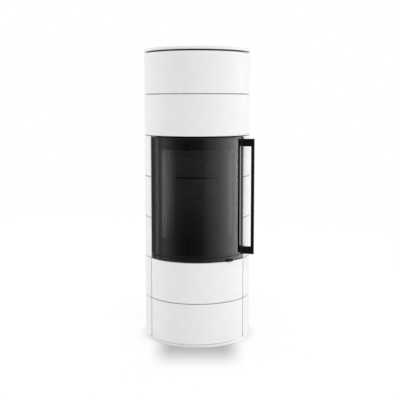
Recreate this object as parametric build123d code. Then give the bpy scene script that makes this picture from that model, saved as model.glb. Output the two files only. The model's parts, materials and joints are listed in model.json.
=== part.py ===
from build123d import *
import os
from math import atan2, cos, degrees, radians, sin

# Round tiled stove. Millimetres, +Z up, origin on the floor at the stove's vertical axis, door towards -Y.
# Angles are in degrees from the front (-Y), positive towards +X; left and right are the viewer's.
# A spare is how far a cutting shape runs past the face that it cuts.

# --- casing -----------------------------------------------------------------------------------------------
outer_radius = 250.0
tile_depth = 42.0
tile_wall = 14.0
tile_edge_radius = 2.5
tile_joint = 2.4
tile_height = 188.0
first_tile_bottom = 14.0
course_count = 7
door_first_course = 3
door_last_course = 5
joint_angle = 59.2
half_ring_angle = 90.0
rear_joint_angle = 135.0
pad_size = 12.0
pad_middle_angle = 20.0
pad_end_angle = 12.0
clip_width = 8.7
clip_height = 8.0
clip_depth = 5.5
clip_raise = 5.0

# --- base and top -----------------------------------------------------------------------------------------
plinth_inset = 3.0
plinth_width = 9.0
plinth_lift = 0.5
plinth_edge_radius = 1.0
base_plate_thickness = 4.0
base_plate_top = 12.5
foot_radius = 16.0
foot_height = 5.0
foot_stem_radius = 5.0
foot_stem_top = 19.0
foot_angles = [30.0, 150.0, -150.0, -30.0]
top_gap = 7.6
top_plate_thickness = 12.0
top_plate_hole_clearance = 2.5
top_plate_edge_radius = 2.0
spacer_radius = 8.0
spacer_inset = 35.0
spacer_angles = [45.0, 135.0, -135.0, -45.0]
lid_thickness = 3.0
lid_drop = 14.0

# --- steel body -------------------------------------------------------------------------------------------
body_gap = 13.0
body_wall = 3.0
body_opening_spare_angle = 3.0
body_opening_margin = 10.0
seat_gap = 0.3
weld_gap = 0.02
spare = 1.0
post_front_spare_angle = 3.8
post_rear_spare_angle = 2.1
post_width_angle = 4.0
panel_outer_inset = 2.0
panel_thickness = 2.1
panel_joint_angle = 0.9
louvre_height = 9.0
louvre_pitch = 24.0
louvre_rows = 5
louvre_half_angle = 10.0
louvre_centre_angle = 154.0
louvre_margin = 70.0
screw_radius = 2.0
screw_head_radius = 5.0
screw_length = 14.0
screw_levels = 4
screw_head_lift = 0.1

# --- firebox ----------------------------------------------------------------------------------------------
plate_thickness = 4.0
ceiling_rise = 19.0
smoke_height = 55.0
lining_front_room = 22.1
lining_front_angle = 53.9
lining_rear_room = 30.3
lining_rear_angle = 138.0
board_thickness = 28.0
board_joint = 1.0
rear_lower_height = 312.0
rear_slot_height = 9.5
rear_slot_depth = 14.0
hearth_thickness = 25.0
baffle_thickness = 25.0
baffle_front = -40.0
grate_radius = 79.0
grate_ledge = 13.0
grate_thickness = 12.0
grate_slot = 12.0
grate_bar = 8.0
grate_slot_rows = 5
grate_slot_rim = 4.0
ash_recess_size = 130.0
ash_recess_depth = 56.0
ash_recess_wall = 2.0
ash_pan_gap = 2.0
ash_pan_wall = 1.5
ash_pan_height = 42.0
retainer_room = 13.7
retainer_thickness = 5.0
retainer_height = 30.0
retainer_half_angle = 38.0

# --- flue -------------------------------------------------------------------------------------------------
flue_bore_radius = 75.5
flue_wall = 2.0
flue_top_gap = 2.0
flue_ledge = 2.0
storage_ring_count = 3
storage_top_room = 46.0
storage_wall_room = 5.0
storage_ring_clearance = 4.5

# --- combustion air ---------------------------------------------------------------------------------------
inlet_bore_radius = 50.25
inlet_wall = 2.0
inlet_height = 110.0
inlet_end_gap = 0.9
inlet_hole_clearance = 0.4
duct_side_room = 9.75
duct_front_reach = 26.0
duct_rear_reach = 30.0
duct_wall = 2.0
duct_mouth_ledge = 1.0
valve_ring_width = 30.0
valve_clearance = 3.1
valve_hole_radius = 6.0
valve_hole_angles = [152.0, 166.0, 180.0, 194.0, 208.0]
lever_rise = 0.8
lever_thickness = 3.0
lever_width = 20.0
lever_angle = 36.0
lever_travel = 40.0
lever_end_cover = 4.0
knob_width = 33.0
knob_height = 8.2
knob_depth = 11.6
knob_projection = 10.0
knob_rise = 0.4
knob_edge_radius = 2.0
lever_root = 4.0
lever_slot_spare_angle = 2.0
valve_hook_angles = [80.0, 130.0, -130.0, -80.0]
valve_hook_half_angle = 4.0
valve_hook_lip = 6.0
valve_hook_wall = 5.7
valve_hook_thickness = 1.6

# --- door opening and surround ----------------------------------------------------------------------------
door_edge_gap = 3.0
sill_height = 16.7
sill_inset = 3.0
sill_edge_radius = 1.2
door_sill_gap = 2.5
door_top_gap = 7.0
surround_flange = 4.0
surround_side_room = 12.7
surround_side_width = 32.9
surround_collar_angle = 1.2
surround_collar_wall = 4.0
surround_foot_gap = 1.2
surround_top_drop = 1.0
surround_top_border = 33.0
opening_sill_height = 14.5

# --- door -------------------------------------------------------------------------------------------------
door_inset = 2.0
door_frame_depth = 14.7
glass_thickness = 5.0
glass_side_gap = 0.9
glass_edge_radius = 0.8
glass_rail_gap = 0.2
stile_width = 18.1
stile_edge_radius = 1.5
window_side_border = 38.5
window_bottom_border = 72.0
window_top_border = 45.0
rail_top_height = 8.5
rail_bottom_height = 8.0
tape_thickness = 2.1
tape_gap = 0.1
tape_inset = 13.0
tape_width = 17.0
tape_window_margin = 10.0
tape_end_gap = 1.0
rope_space = 4.5
rope_gap = 0.1
rope_width = 10.0
rope_side_inset = 13.5
rope_bottom_inset = 5.0
rope_top_inset = 14.0
hinge_pin_radius = 3.5
hinge_play = 0.05
hinge_pin_inset = 5.5
hinge_edge_distance = 8.6
hinge_pin_depth = 28.0
hinge_pin_end_gap = 2.0
bracket_rise = 1.5
bracket_thickness = 4.0
bracket_half_angle = 2.1
bracket_tab_angle = 5.0

# --- handle and latch -------------------------------------------------------------------------------------
rod_inset = 10.0
rod_edge_distance = 6.6
rod_radius = 5.0
rod_play = 0.06
hub_radius = 8.0
hub_clearance = 0.6
handle_lean_angle = 19.7
handle_reach = 64.7
handle_bar_width = 14.5
handle_bar_depth = 13.0
handle_thickness = 8.0
handle_bottom_drop = 1.4
handle_top_inset = 8.0
handle_arm_height = 35.0
handle_edge_radius = 1.6
handle_slot_gap = 1.5
tongue_lean_angle = 202.8
tongue_length = 16.0
tongue_width = 8.0
tongue_height = 12.0
tongue_bottom_inset = 124.0
tongue_top_inset = 159.0
tongue_pocket_gap = 1.5
tongue_pocket_past_rod = 1.5
tongue_pocket_spare_angle = 1.0
catch_inset = 1.5
catch_depth = 11.5
catch_width_angle = 2.4
catch_extra = 2.0

# --- radii that follow, from the tiles inwards ------------------------------------------------------------
tile_inner = outer_radius - tile_depth
panel_outer = outer_radius - panel_outer_inset
panel_inner = panel_outer - panel_thickness
body_radius = tile_inner - body_gap
body_inner = body_radius - body_wall
plate_radius = body_inner - seat_gap
foot_circle_radius = (body_radius + tile_inner) / 2
spacer_circle_radius = body_radius - spacer_inset
flue_outer = flue_bore_radius + flue_wall
top_plate_hole_radius = flue_outer + top_plate_hole_clearance
storage_ring_outer = body_inner - storage_wall_room
retainer_radius = plate_radius - retainer_room
sill_outer = outer_radius - sill_inset
door_outer = outer_radius - door_inset
glass_inner = door_outer - glass_thickness
frame_outer = glass_inner - tape_thickness - 2 * tape_gap
door_inner = frame_outer - door_frame_depth
rope_outer = door_inner - rope_gap
surround_outer = door_inner - rope_space
rope_inner = surround_outer + seat_gap
hinge_pin_path = door_outer - hinge_pin_inset
rod_path = door_outer - rod_inset
catch_outer = surround_outer - catch_inset
catch_inner = catch_outer - catch_depth
knob_end = outer_radius + knob_projection
knob_start = knob_end - knob_depth
lever_reach = knob_end - lever_end_cover
inlet_end = panel_inner - inlet_end_gap
inlet_hole_radius = inlet_bore_radius + inlet_wall + inlet_hole_clearance
duct_width = 2 * (inlet_bore_radius + duct_side_room)
valve_inner_radius = ash_recess_size * cos(radians(45)) + valve_clearance
valve_outer_radius = valve_inner_radius + valve_ring_width
valve_hole_circle = valve_inner_radius + valve_ring_width / 2
duct_front = valve_hole_circle - duct_front_reach
duct_rear = valve_hole_circle + duct_rear_reach

# --- angles that follow, from the upright joints beside the door inwards ----------------------------------
half_joint_angle = degrees(tile_joint / 2 / outer_radius)
post_front_angle = joint_angle + post_front_spare_angle
panel_end_angle = rear_joint_angle + panel_joint_angle
post_rear_angle = panel_end_angle + post_rear_spare_angle
pad_angles_beside_door = [joint_angle + pad_end_angle, rear_joint_angle - pad_end_angle]
pad_angles = [pad_middle_angle, joint_angle - pad_end_angle] + pad_angles_beside_door
door_half_angle = joint_angle + half_joint_angle - degrees(door_edge_gap / outer_radius)
stile_start_angle = door_half_angle - degrees(stile_width / door_outer)
glass_half_angle = stile_start_angle - degrees(glass_side_gap / door_outer)
window_half_angle = stile_start_angle - degrees(window_side_border / door_outer)
tape_half_angle = glass_half_angle - degrees(tape_inset / door_outer)
tape_width_angle = degrees(tape_width / door_outer)
surround_half_angle = door_half_angle - degrees(surround_side_room / surround_outer)
opening_half_angle = surround_half_angle - degrees(surround_side_width / surround_outer)
body_opening_angle = opening_half_angle + body_opening_spare_angle
rope_half_angle = surround_half_angle - degrees(rope_side_inset / surround_outer)
rope_width_angle = degrees(rope_width / surround_outer)
hinge_angle = -(door_half_angle - degrees(hinge_edge_distance / hinge_pin_path))
rod_angle = door_half_angle - degrees(rod_edge_distance / rod_path)
handle_direction = rod_angle - 90 + handle_lean_angle
tongue_direction = rod_angle - 90 + tongue_lean_angle

# --- heights that follow, from the floor up ---------------------------------------------------------------
course_pitch = tile_height + tile_joint
casing_top = first_tile_bottom + course_pitch * course_count - tile_joint
top_plate_bottom = casing_top + top_gap
top_plate_top = top_plate_bottom + top_plate_thickness
lid_top = top_plate_bottom - lid_drop
lid_bottom = lid_top - lid_thickness
flue_top = top_plate_bottom - flue_top_gap
door_course_bottom = first_tile_bottom + course_pitch * (door_first_course - 1) - tile_joint
door_course_top = first_tile_bottom + course_pitch * door_last_course
duct_bottom = inlet_height - inlet_bore_radius - duct_side_room
lever_bottom = door_course_bottom + lever_rise
lever_top = lever_bottom + lever_thickness
floor_underside = lever_top + seat_gap
floor_top = floor_underside + plate_thickness
hearth_top = floor_top + hearth_thickness
rear_board_joint_height = hearth_top + rear_lower_height + board_joint / 2
ceiling_underside = door_course_top + ceiling_rise
ceiling_top = ceiling_underside + plate_thickness
board_top = ceiling_underside - smoke_height - baffle_thickness
storage_ring_height = (lid_bottom - ceiling_top - storage_top_room) / storage_ring_count
sill_bottom = lever_top + 2 * seat_gap
sill_top = sill_bottom + sill_height
door_bottom = sill_top + door_sill_gap
door_top = door_course_top - door_top_gap
glass_bottom = door_bottom + rail_bottom_height + glass_rail_gap
glass_top = door_top - rail_top_height - glass_rail_gap
window_bottom = door_bottom + window_bottom_border
window_top = door_top - window_top_border
rope_bottom = door_bottom + rope_bottom_inset
rope_top = door_top - rope_top_inset
surround_bottom = sill_bottom + surround_foot_gap
surround_top = door_top - surround_top_drop
opening_bottom = hearth_top + opening_sill_height
opening_top = surround_top - surround_top_border
handle_bottom = door_bottom - handle_bottom_drop
handle_top = door_top - handle_top_inset
tongue_levels = [door_bottom + tongue_bottom_inset, door_top - tongue_top_inset]

# --- firebox lining corners that follow -------------------------------------------------------------------
lining_front_corner = plate_radius - lining_front_room
lining_front_half_width = lining_front_corner * sin(radians(lining_front_angle))
lining_front = -lining_front_corner * cos(radians(lining_front_angle))
lining_rear_corner = plate_radius - lining_rear_room
lining_rear_half_width = lining_rear_corner * sin(radians(lining_rear_angle))
lining_rear = -lining_rear_corner * cos(radians(lining_rear_angle))


def polar(radius, angle):
    """Point at a radius and an angle from the front."""
    return (radius * sin(radians(angle)), -radius * cos(radians(angle)))


def at(radius, angle, height=0.0):
    """Location at a radius and an angle from the front, not turned."""
    x, y = polar(radius, angle)
    return Pos(x, y, height)


def sector(inner, outer, start, end, bottom, top):
    """Block between two radii, two angles less than a half turn apart, and two heights."""
    middle = (start + end) / 2
    outline = [
        ThreePointArc(polar(outer, start), polar(outer, middle), polar(outer, end)),
        Line(polar(outer, end), polar(inner, end)),
        ThreePointArc(polar(inner, end), polar(inner, middle), polar(inner, start)),
        Line(polar(inner, start), polar(outer, start)),
    ]
    return Pos(0, 0, bottom) * extrude(make_face(outline), amount=top - bottom, dir=(0, 0, 1))


def disc(radius, bottom, top):
    """Upright cylinder on the stove's axis."""
    return Pos(0, 0, (bottom + top) / 2) * Cylinder(radius, top - bottom)


def tube(inner, outer, bottom, top):
    """Upright tube on the stove's axis."""
    return disc(outer, bottom, top) - disc(inner, bottom - spare, top + spare)


def rod(radius, path, angle, bottom, top):
    """Upright round rod whose centre lies at a radius and an angle."""
    return at(path, angle, (bottom + top) / 2) * Cylinder(radius, top - bottom)


def block(x_low, x_high, y_low, y_high, bottom, top):
    """Square-cornered block between pairs of coordinates."""
    centre = Pos((x_low + x_high) / 2, (y_low + y_high) / 2, (bottom + top) / 2)
    return centre * Box(x_high - x_low, y_high - y_low, top - bottom)


def prism(points, bottom, top):
    """Upright prism over a closed outline."""
    face = make_face(Polyline(*points, close=True))
    return Pos(0, 0, bottom) * extrude(face, amount=top - bottom, dir=(0, 0, 1))


def widest_face_edges(shape):
    """Edges round the largest face, which on a tile or pane is the one that shows."""
    return shape.faces().sort_by(SortBy.AREA)[-1].edges()


def group(solids):
    """Separate solids kept together as one node."""
    return Compound(children=solids)


def course_bottom(course):
    """Height of the underside of a tile course, counted from 1 at the floor."""
    return first_tile_bottom + course_pitch * (course - 1)


def tile(start, end, bottom):
    """Glazed tile shell: a curved face with rounded edges and a hollow back inside a rim."""
    low = start + half_joint_angle
    high = end - half_joint_angle
    face_block = sector(tile_inner, outer_radius, low, high, bottom, bottom + tile_height)
    face_block = fillet(widest_face_edges(face_block), tile_edge_radius)
    rim_angle = degrees(tile_wall / tile_inner)
    hollow = sector(tile_inner - spare, outer_radius - tile_wall, low + rim_angle, high - rim_angle,
                    bottom + tile_wall, bottom + tile_height - tile_wall)
    return face_block - hollow


def tile_layout():
    """Node name, start angle, end angle and course of every tile."""
    rows = []
    for course in range(1, course_count + 1):
        above_door = course > door_last_course
        beside_door = door_first_course <= course <= door_last_course
        front_half = half_ring_angle if above_door else joint_angle
        if not beside_door:
            rows.append((f"tile_course_{course}_front", -front_half, front_half, course))
        rows.append((f"tile_course_{course}_left", -rear_joint_angle, -front_half, course))
        rows.append((f"tile_course_{course}_right", front_half, rear_joint_angle, course))
    return rows


def clip_notch(side, clearance):
    """Room for one joint clip at the foot of an upright joint, made smaller by a clearance."""
    half = degrees(clip_width / 2 / outer_radius) - degrees(clearance / outer_radius)
    centre = side * joint_angle
    low = first_tile_bottom + clip_raise
    outer = outer_radius - clearance if clearance else outer_radius + spare
    return sector(outer_radius - clip_depth + clearance, outer, centre - half, centre + half,
                  low + clearance, low + clip_height - clearance)


def tiles():
    """All tiles by node name; the lowest ones are notched for the joint clips."""
    made = {}
    for name, start, end, course in tile_layout():
        piece = tile(start, end, course_bottom(course))
        if course == 1:
            piece -= clip_notch(-1, 0) + clip_notch(1, 0)
        made[name] = piece
    return made


def joint_clips():
    """Two small steel clips that hold the lowest tiles together."""
    return group([clip_notch(side, seat_gap) for side in (-1, 1)])


def joint_pads():
    """Fibre pads under every course: on the base plate first, then on the rims of the tiles below."""
    inner = tile_inner + (tile_wall - pad_size) / 2 + pad_size
    pads = []
    for course in range(1, course_count + 1):
        low = base_plate_top if course == 1 else course_bottom(course) - tile_joint
        beside_door = door_first_course <= course <= door_last_course + 1
        angles = pad_angles_beside_door if beside_door else pad_angles
        half = degrees(pad_size / 2 / inner)
        for angle in angles:
            for side in (-1, 1):
                pads.append(sector(inner, inner + pad_size, side * angle - half, side * angle + half,
                                   low, course_bottom(course)))
    return group(pads)


def plinth_ring():
    """Painted ring at the floor, a little smaller than the tiles."""
    outer = outer_radius - plinth_inset
    ring = tube(outer - plinth_width, outer, plinth_lift, base_plate_top)
    return fillet(ring.edges().filter_by(GeomType.CIRCLE).group_by(Axis.Z)[-1][-1:], plinth_edge_radius)


def base_plate():
    """Steel plate that carries everything, inside the plinth ring."""
    radius = outer_radius - plinth_inset - plinth_width - seat_gap
    plate = disc(radius, base_plate_top - base_plate_thickness, base_plate_top)
    for angle in foot_angles:
        plate -= rod(foot_stem_radius + seat_gap, foot_circle_radius, angle, 0, base_plate_top + spare)
    return plate


def levelling_feet():
    """Four screwed feet round the plate and one fixed foot at its centre."""
    feet = []
    for angle in foot_angles:
        pad = rod(foot_radius, foot_circle_radius, angle, 0, foot_height)
        feet.append(pad + rod(foot_stem_radius, foot_circle_radius, angle, foot_height, foot_stem_top))
    feet.append(disc(foot_radius, 0, base_plate_top - base_plate_thickness))
    return group(feet)


def body_shell():
    """Rolled steel body, open at the door, with a slot for the air lever and a hole for the inlet."""
    shell = tube(body_inner, body_radius, base_plate_top, lid_bottom)
    shell -= sector(body_inner - spare, body_radius + spare, -body_opening_angle, body_opening_angle,
                    opening_bottom - body_opening_margin, opening_top + body_opening_margin)
    sweep_margin = degrees(lever_width / 2 / body_inner) + lever_slot_spare_angle
    shell -= sector(body_inner - spare, body_radius + spare, lever_angle - lever_travel - sweep_margin,
                    lever_angle + sweep_margin, door_course_bottom - spare, sill_bottom)
    hole = Cylinder(inlet_hole_radius, inlet_bore_radius)
    return shell - Pos(0, body_radius, inlet_height) * Rot(90, 0, 0) * hole


def body_lid():
    """Steel lid on the body with a hole for the flue collar."""
    lid = disc(body_radius, lid_bottom, lid_top)
    return lid - disc(flue_outer + seat_gap, lid_bottom - spare, lid_top + spare)


def tile_posts():
    """Four upright posts between the body and the tiles or the rear panel."""
    half = post_width_angle / 2
    posts = []
    for side in (-1, 1):
        front = side * post_front_angle
        rear = side * post_rear_angle
        posts.append(sector(body_radius + seat_gap, tile_inner - seat_gap, front - half, front + half,
                            base_plate_top, lid_bottom))
        posts.append(sector(body_radius + seat_gap, panel_inner - seat_gap, rear - half, rear + half,
                            base_plate_top, lid_bottom))
    return posts


def screw_places():
    """Angle and height of every rear panel screw."""
    span = casing_top - first_tile_bottom
    heights = [first_tile_bottom + span * (level + 0.5) / screw_levels for level in range(screw_levels)]
    return [(side * post_rear_angle, height) for side in (-1, 1) for height in heights]


def radial_rod(radius, inner, outer, angle, height):
    """Round rod that points straight out from the stove's axis."""
    turned = Rot(0, 0, angle - 90) * Pos((inner + outer) / 2, 0, 0) * Rot(0, 90, 0)
    return Pos(0, 0, height) * turned * Cylinder(radius, outer - inner)


def rear_panel():
    """Curved steel panel with louvres above and below and a hole for the inlet."""
    panel = sector(panel_inner, panel_outer, panel_end_angle, 360 - panel_end_angle,
                   first_tile_bottom, casing_top)
    for row in range(louvre_rows):
        rise = louvre_margin + row * louvre_pitch
        for low in (first_tile_bottom + rise, casing_top - rise - louvre_height):
            for centre in (louvre_centre_angle, 360 - louvre_centre_angle):
                panel -= sector(panel_inner - spare, panel_outer + spare, centre - louvre_half_angle,
                                centre + louvre_half_angle, low, low + louvre_height)
    for angle, height in screw_places():
        panel -= radial_rod(screw_radius + seat_gap, tile_inner, outer_radius, angle, height)
    hole = Cylinder(inlet_hole_radius, inlet_bore_radius)
    return panel - Pos(0, panel_inner, inlet_height) * Rot(90, 0, 0) * hole


def panel_screws():
    """Round-headed screws that hold the rear panel to the rear posts."""
    screws = []
    for angle, height in screw_places():
        shank = radial_rod(screw_radius, panel_outer - screw_length, panel_outer + seat_gap, angle, height)
        head = radial_rod(screw_head_radius, panel_outer + screw_head_lift,
                          outer_radius - screw_head_lift, angle, height)
        screws.append(shank + head)
    return group(screws)


def drill_posts(posts):
    """Rear posts with a hole for each panel screw."""
    drilled = []
    for post in posts:
        for angle, height in screw_places():
            post -= radial_rod(screw_radius + weld_gap, panel_outer - screw_length - spare,
                               panel_outer, angle, height)
        drilled.append(post)
    return group(drilled)


def top_plate():
    """White plate over the shadow gap, with a hole for the flue pipe."""
    plate = disc(outer_radius, top_plate_bottom, top_plate_top)
    plate = fillet(plate.edges().filter_by(GeomType.CIRCLE), top_plate_edge_radius)
    return plate - disc(top_plate_hole_radius, top_plate_bottom - spare, top_plate_top + spare)


def top_plate_spacers():
    """Four posts that hold the top plate above the body lid."""
    return group([rod(spacer_radius, spacer_circle_radius, angle, lid_top, top_plate_bottom)
                  for angle in spacer_angles])


def firebox_floor():
    """Floor plate with the grate hole, air holes and hooks that hold the valve ring."""
    plate = disc(plate_radius, floor_underside, floor_top)
    plate -= disc(grate_radius - grate_ledge, floor_underside - spare, floor_top + spare)
    for angle in valve_hole_angles:
        plate -= rod(valve_hole_radius, valve_hole_circle, angle, floor_underside - spare,
                     floor_top + spare)
    hook_inner = valve_outer_radius + seat_gap
    lip_top = lever_bottom - seat_gap
    for angle in valve_hook_angles:
        low = angle - valve_hook_half_angle
        high = angle + valve_hook_half_angle
        plate += sector(hook_inner, hook_inner + valve_hook_wall, low, high,
                        lip_top - valve_hook_thickness, floor_underside)
        plate += sector(hook_inner - valve_hook_lip, hook_inner + valve_hook_wall, low, high,
                        lip_top - valve_hook_thickness, lip_top)
    return plate


def firebox_ceiling():
    """Plate that closes the firebox under the heat storage, open to the flue."""
    plate = disc(plate_radius, ceiling_underside, ceiling_top)
    return plate - disc(flue_bore_radius - flue_ledge, ceiling_underside - spare, ceiling_top + spare)


def lining_edge(side, offset):
    """Front and rear points of a side board face, moved out by an offset."""
    run = lining_rear - lining_front
    narrowing = lining_front_half_width - lining_rear_half_width
    shift = offset / cos(atan2(narrowing, run))
    return ((side * (lining_front_half_width + shift), lining_front),
            (side * (lining_rear_half_width + shift), lining_rear))


def side_board(side):
    """Side board of the firebox, trimmed to the round body."""
    inner_front, inner_rear = lining_edge(side, 0)
    outer_front, outer_rear = lining_edge(side, board_thickness)
    board = prism([inner_front, inner_rear, outer_rear, outer_front], hearth_top, board_top)
    return board & disc(plate_radius - seat_gap, hearth_top - spare, board_top + spare)


def rear_board(bottom, top):
    """Rear board of the firebox between two heights."""
    half = lining_rear_half_width
    board = block(-half, half, lining_rear + board_joint, lining_rear + board_thickness, bottom, top)
    return board & disc(plate_radius - seat_gap, bottom - spare, top + spare)


def rear_board_upper():
    """Upper rear board, cut back along its lower front edge for the rear air slot."""
    low = rear_board_joint_height + board_joint / 2
    half = lining_rear_half_width + spare
    front = lining_rear + board_joint
    slot = block(-half, half, front - spare, front + rear_slot_depth, low - spare, low + rear_slot_height)
    return rear_board(low, board_top) - slot


def floor_bricks():
    """Two halves of the hearth round the grate, with the air holes."""
    slab = disc(plate_radius - seat_gap, floor_top, hearth_top)
    slab -= disc(grate_radius + seat_gap, floor_top - spare, hearth_top + spare)
    for angle in valve_hole_angles:
        slab -= rod(valve_hole_radius, valve_hole_circle, angle, floor_top - spare, hearth_top + spare)
    span = outer_radius
    halves = [slab & block(board_joint / 2, span, -span, span, floor_top - spare, hearth_top + spare),
              slab & block(-span, -board_joint / 2, -span, span, floor_top - spare, hearth_top + spare)]
    return group([solid for half in halves for solid in half.solids()])


def baffle_plate():
    """Baffle on top of the boards, open at the front for the smoke."""
    span = outer_radius
    keep = block(-span, span, baffle_front, lining_rear + board_thickness,
                 board_top - spare, board_top + baffle_thickness + spare)
    return disc(plate_radius - seat_gap, board_top, board_top + baffle_thickness) & keep


def fire_grate():
    """Cast grate with straight slots."""
    grate = disc(grate_radius, floor_top, floor_top + grate_thickness)
    slot_limit = grate_radius - grate_ledge - grate_slot_rim
    for row in range(grate_slot_rows):
        x = (row - (grate_slot_rows - 1) / 2) * (grate_slot + grate_bar)
        reach = (slot_limit ** 2 - (abs(x) + grate_slot / 2) ** 2) ** 0.5
        grate -= block(x - grate_slot / 2, x + grate_slot / 2, -reach, reach,
                       floor_top - spare, floor_top + grate_thickness + spare)
    return grate


def ash_recess():
    """Open steel box under the floor plate that holds the ash pan."""
    half = ash_recess_size / 2
    low = floor_underside - ash_recess_depth
    inner = half - ash_recess_wall
    box = block(-half, half, -half, half, low, floor_underside)
    return box - block(-inner, inner, -inner, inner, low + ash_recess_wall, floor_underside + spare)


def ash_pan():
    """Folded steel pan that stands in the recess."""
    half = ash_recess_size / 2 - ash_recess_wall - ash_pan_gap
    low = floor_underside - ash_recess_depth + ash_recess_wall
    inner = half - ash_pan_wall
    pan = block(-half, half, -half, half, low, low + ash_pan_height)
    return pan - block(-inner, inner, -inner, inner, low + ash_pan_wall, low + ash_pan_height + spare)


def log_retainer():
    """Curved bar that keeps the logs behind the door."""
    return sector(retainer_radius - retainer_thickness, retainer_radius, -retainer_half_angle,
                  retainer_half_angle, hearth_top, hearth_top + retainer_height)


def flue_collar():
    """Steel tube from the firebox ceiling to just under the top plate."""
    return tube(flue_bore_radius, flue_outer, ceiling_top, flue_top)


def storage_rings():
    """Stacked heat storage rings round the flue."""
    rings = []
    for index in range(storage_ring_count):
        low = ceiling_top + index * storage_ring_height
        rings.append(tube(flue_outer + storage_ring_clearance, storage_ring_outer, low,
                          low + storage_ring_height))
    return group(rings)


def inlet_spigot():
    """Round inlet at the rear, from the duct out past the body."""
    outer = Cylinder(inlet_bore_radius + inlet_wall, inlet_end - duct_rear)
    bore = Cylinder(inlet_bore_radius, inlet_end - duct_rear + 2 * spare)
    return Pos(0, (duct_rear + inlet_end) / 2, inlet_height) * Rot(90, 0, 0) * (outer - bore)


def air_duct():
    """Box duct from the inlet up to the valve ring, open at its top."""
    half = duct_width / 2
    top = lever_bottom - seat_gap
    duct = block(-half, half, duct_front, duct_rear, duct_bottom, top)
    duct -= block(-half + duct_wall, half - duct_wall, duct_front + duct_wall, duct_rear - duct_wall,
                  duct_bottom + duct_wall, top + spare)
    mouth = Cylinder(inlet_bore_radius + duct_mouth_ledge, 3 * duct_wall)
    return duct - Pos(0, duct_rear, inlet_height) * Rot(90, 0, 0) * mouth


def lever_block(width, start, end, bottom, top):
    """Straight block along the lever's direction, about the stove's axis."""
    bar = block(start, end, -width / 2, width / 2, bottom, top)
    return Rot(0, 0, lever_angle - 90) * bar


def air_valve_ring():
    """Flat ring that turns about the stove's axis, with its lever arm."""
    ring = tube(valve_inner_radius, valve_outer_radius, lever_bottom, lever_top)
    for angle in valve_hole_angles:
        ring -= rod(valve_hole_radius, valve_hole_circle, angle, lever_bottom - spare, lever_top + spare)
    arm = lever_block(lever_width, valve_outer_radius - lever_root, lever_reach, lever_bottom, lever_top)
    return ring + arm


def lever_knob():
    """Black tab pushed on the end of the lever."""
    low = door_course_bottom + knob_rise
    knob = lever_block(knob_width, knob_start, knob_end, low, low + knob_height)
    knob = fillet(knob.edges().filter_by(Axis.Z), knob_edge_radius)
    return knob - lever_block(lever_width + 2 * weld_gap, knob_start - spare, lever_reach + weld_gap,
                              lever_bottom - weld_gap, lever_top + weld_gap)


def door_surround():
    """Sealing frame of the body: a flange behind the door, a collar into the body and a hinge bracket."""
    half = surround_half_angle
    inner = body_radius + seat_gap
    collar = opening_half_angle + surround_collar_angle
    frame = sector(inner, surround_outer, -half, half, surround_bottom, surround_top)
    hollow = sector(inner - spare, surround_outer - surround_flange, -half - spare, half + spare,
                    surround_bottom - spare, surround_top + spare)
    hollow -= sector(inner - 2 * spare, surround_outer, -collar, collar,
                     opening_bottom - surround_collar_wall, opening_top + surround_collar_wall)
    frame -= hollow
    frame -= sector(inner - spare, surround_outer + spare, -opening_half_angle, opening_half_angle,
                    opening_bottom, opening_top)
    low = door_top + bracket_rise
    start = hinge_angle - bracket_half_angle
    tab = sector(surround_outer - surround_flange, surround_outer, -half, -half + bracket_tab_angle,
                 surround_top, low + bracket_thickness)
    arm = sector(surround_outer - surround_flange, sill_outer, start, -half + bracket_tab_angle,
                 low, low + bracket_thickness)
    frame += tab + arm
    return frame - rod(hinge_pin_radius + weld_gap, hinge_pin_path, hinge_angle, low - spare,
                       low + bracket_thickness + spare)


def door_sill():
    """Dark lip under the door, which holds the lower hinge pin."""
    sill = sector(surround_outer + seat_gap, sill_outer, -door_half_angle, door_half_angle,
                  sill_bottom, sill_top)
    sill = fillet(sill.faces().filter_by(GeomType.CYLINDER).sort_by(SortBy.AREA)[-1].edges(),
                  sill_edge_radius)
    return sill - rod(hinge_pin_radius + weld_gap, hinge_pin_path, hinge_angle, sill_bottom - spare,
                      sill_top + spare)


def hinge_pins():
    """Upper and lower pins that the left stile turns on."""
    upper_top = door_top + bracket_rise + bracket_thickness
    return group([
        rod(hinge_pin_radius, hinge_pin_path, hinge_angle, sill_bottom + spare,
            door_bottom + hinge_pin_depth),
        rod(hinge_pin_radius, hinge_pin_path, hinge_angle, door_top - hinge_pin_depth, upper_top),
    ])


def latch_catches():
    """Two steel blocks beside the surround, one behind each latch tongue."""
    start = surround_half_angle + degrees(seat_gap / catch_outer)
    return group([sector(catch_inner, catch_outer, start, start + catch_width_angle,
                         level - catch_extra, level + tongue_height + catch_extra)
                  for level in tongue_levels])


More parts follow.
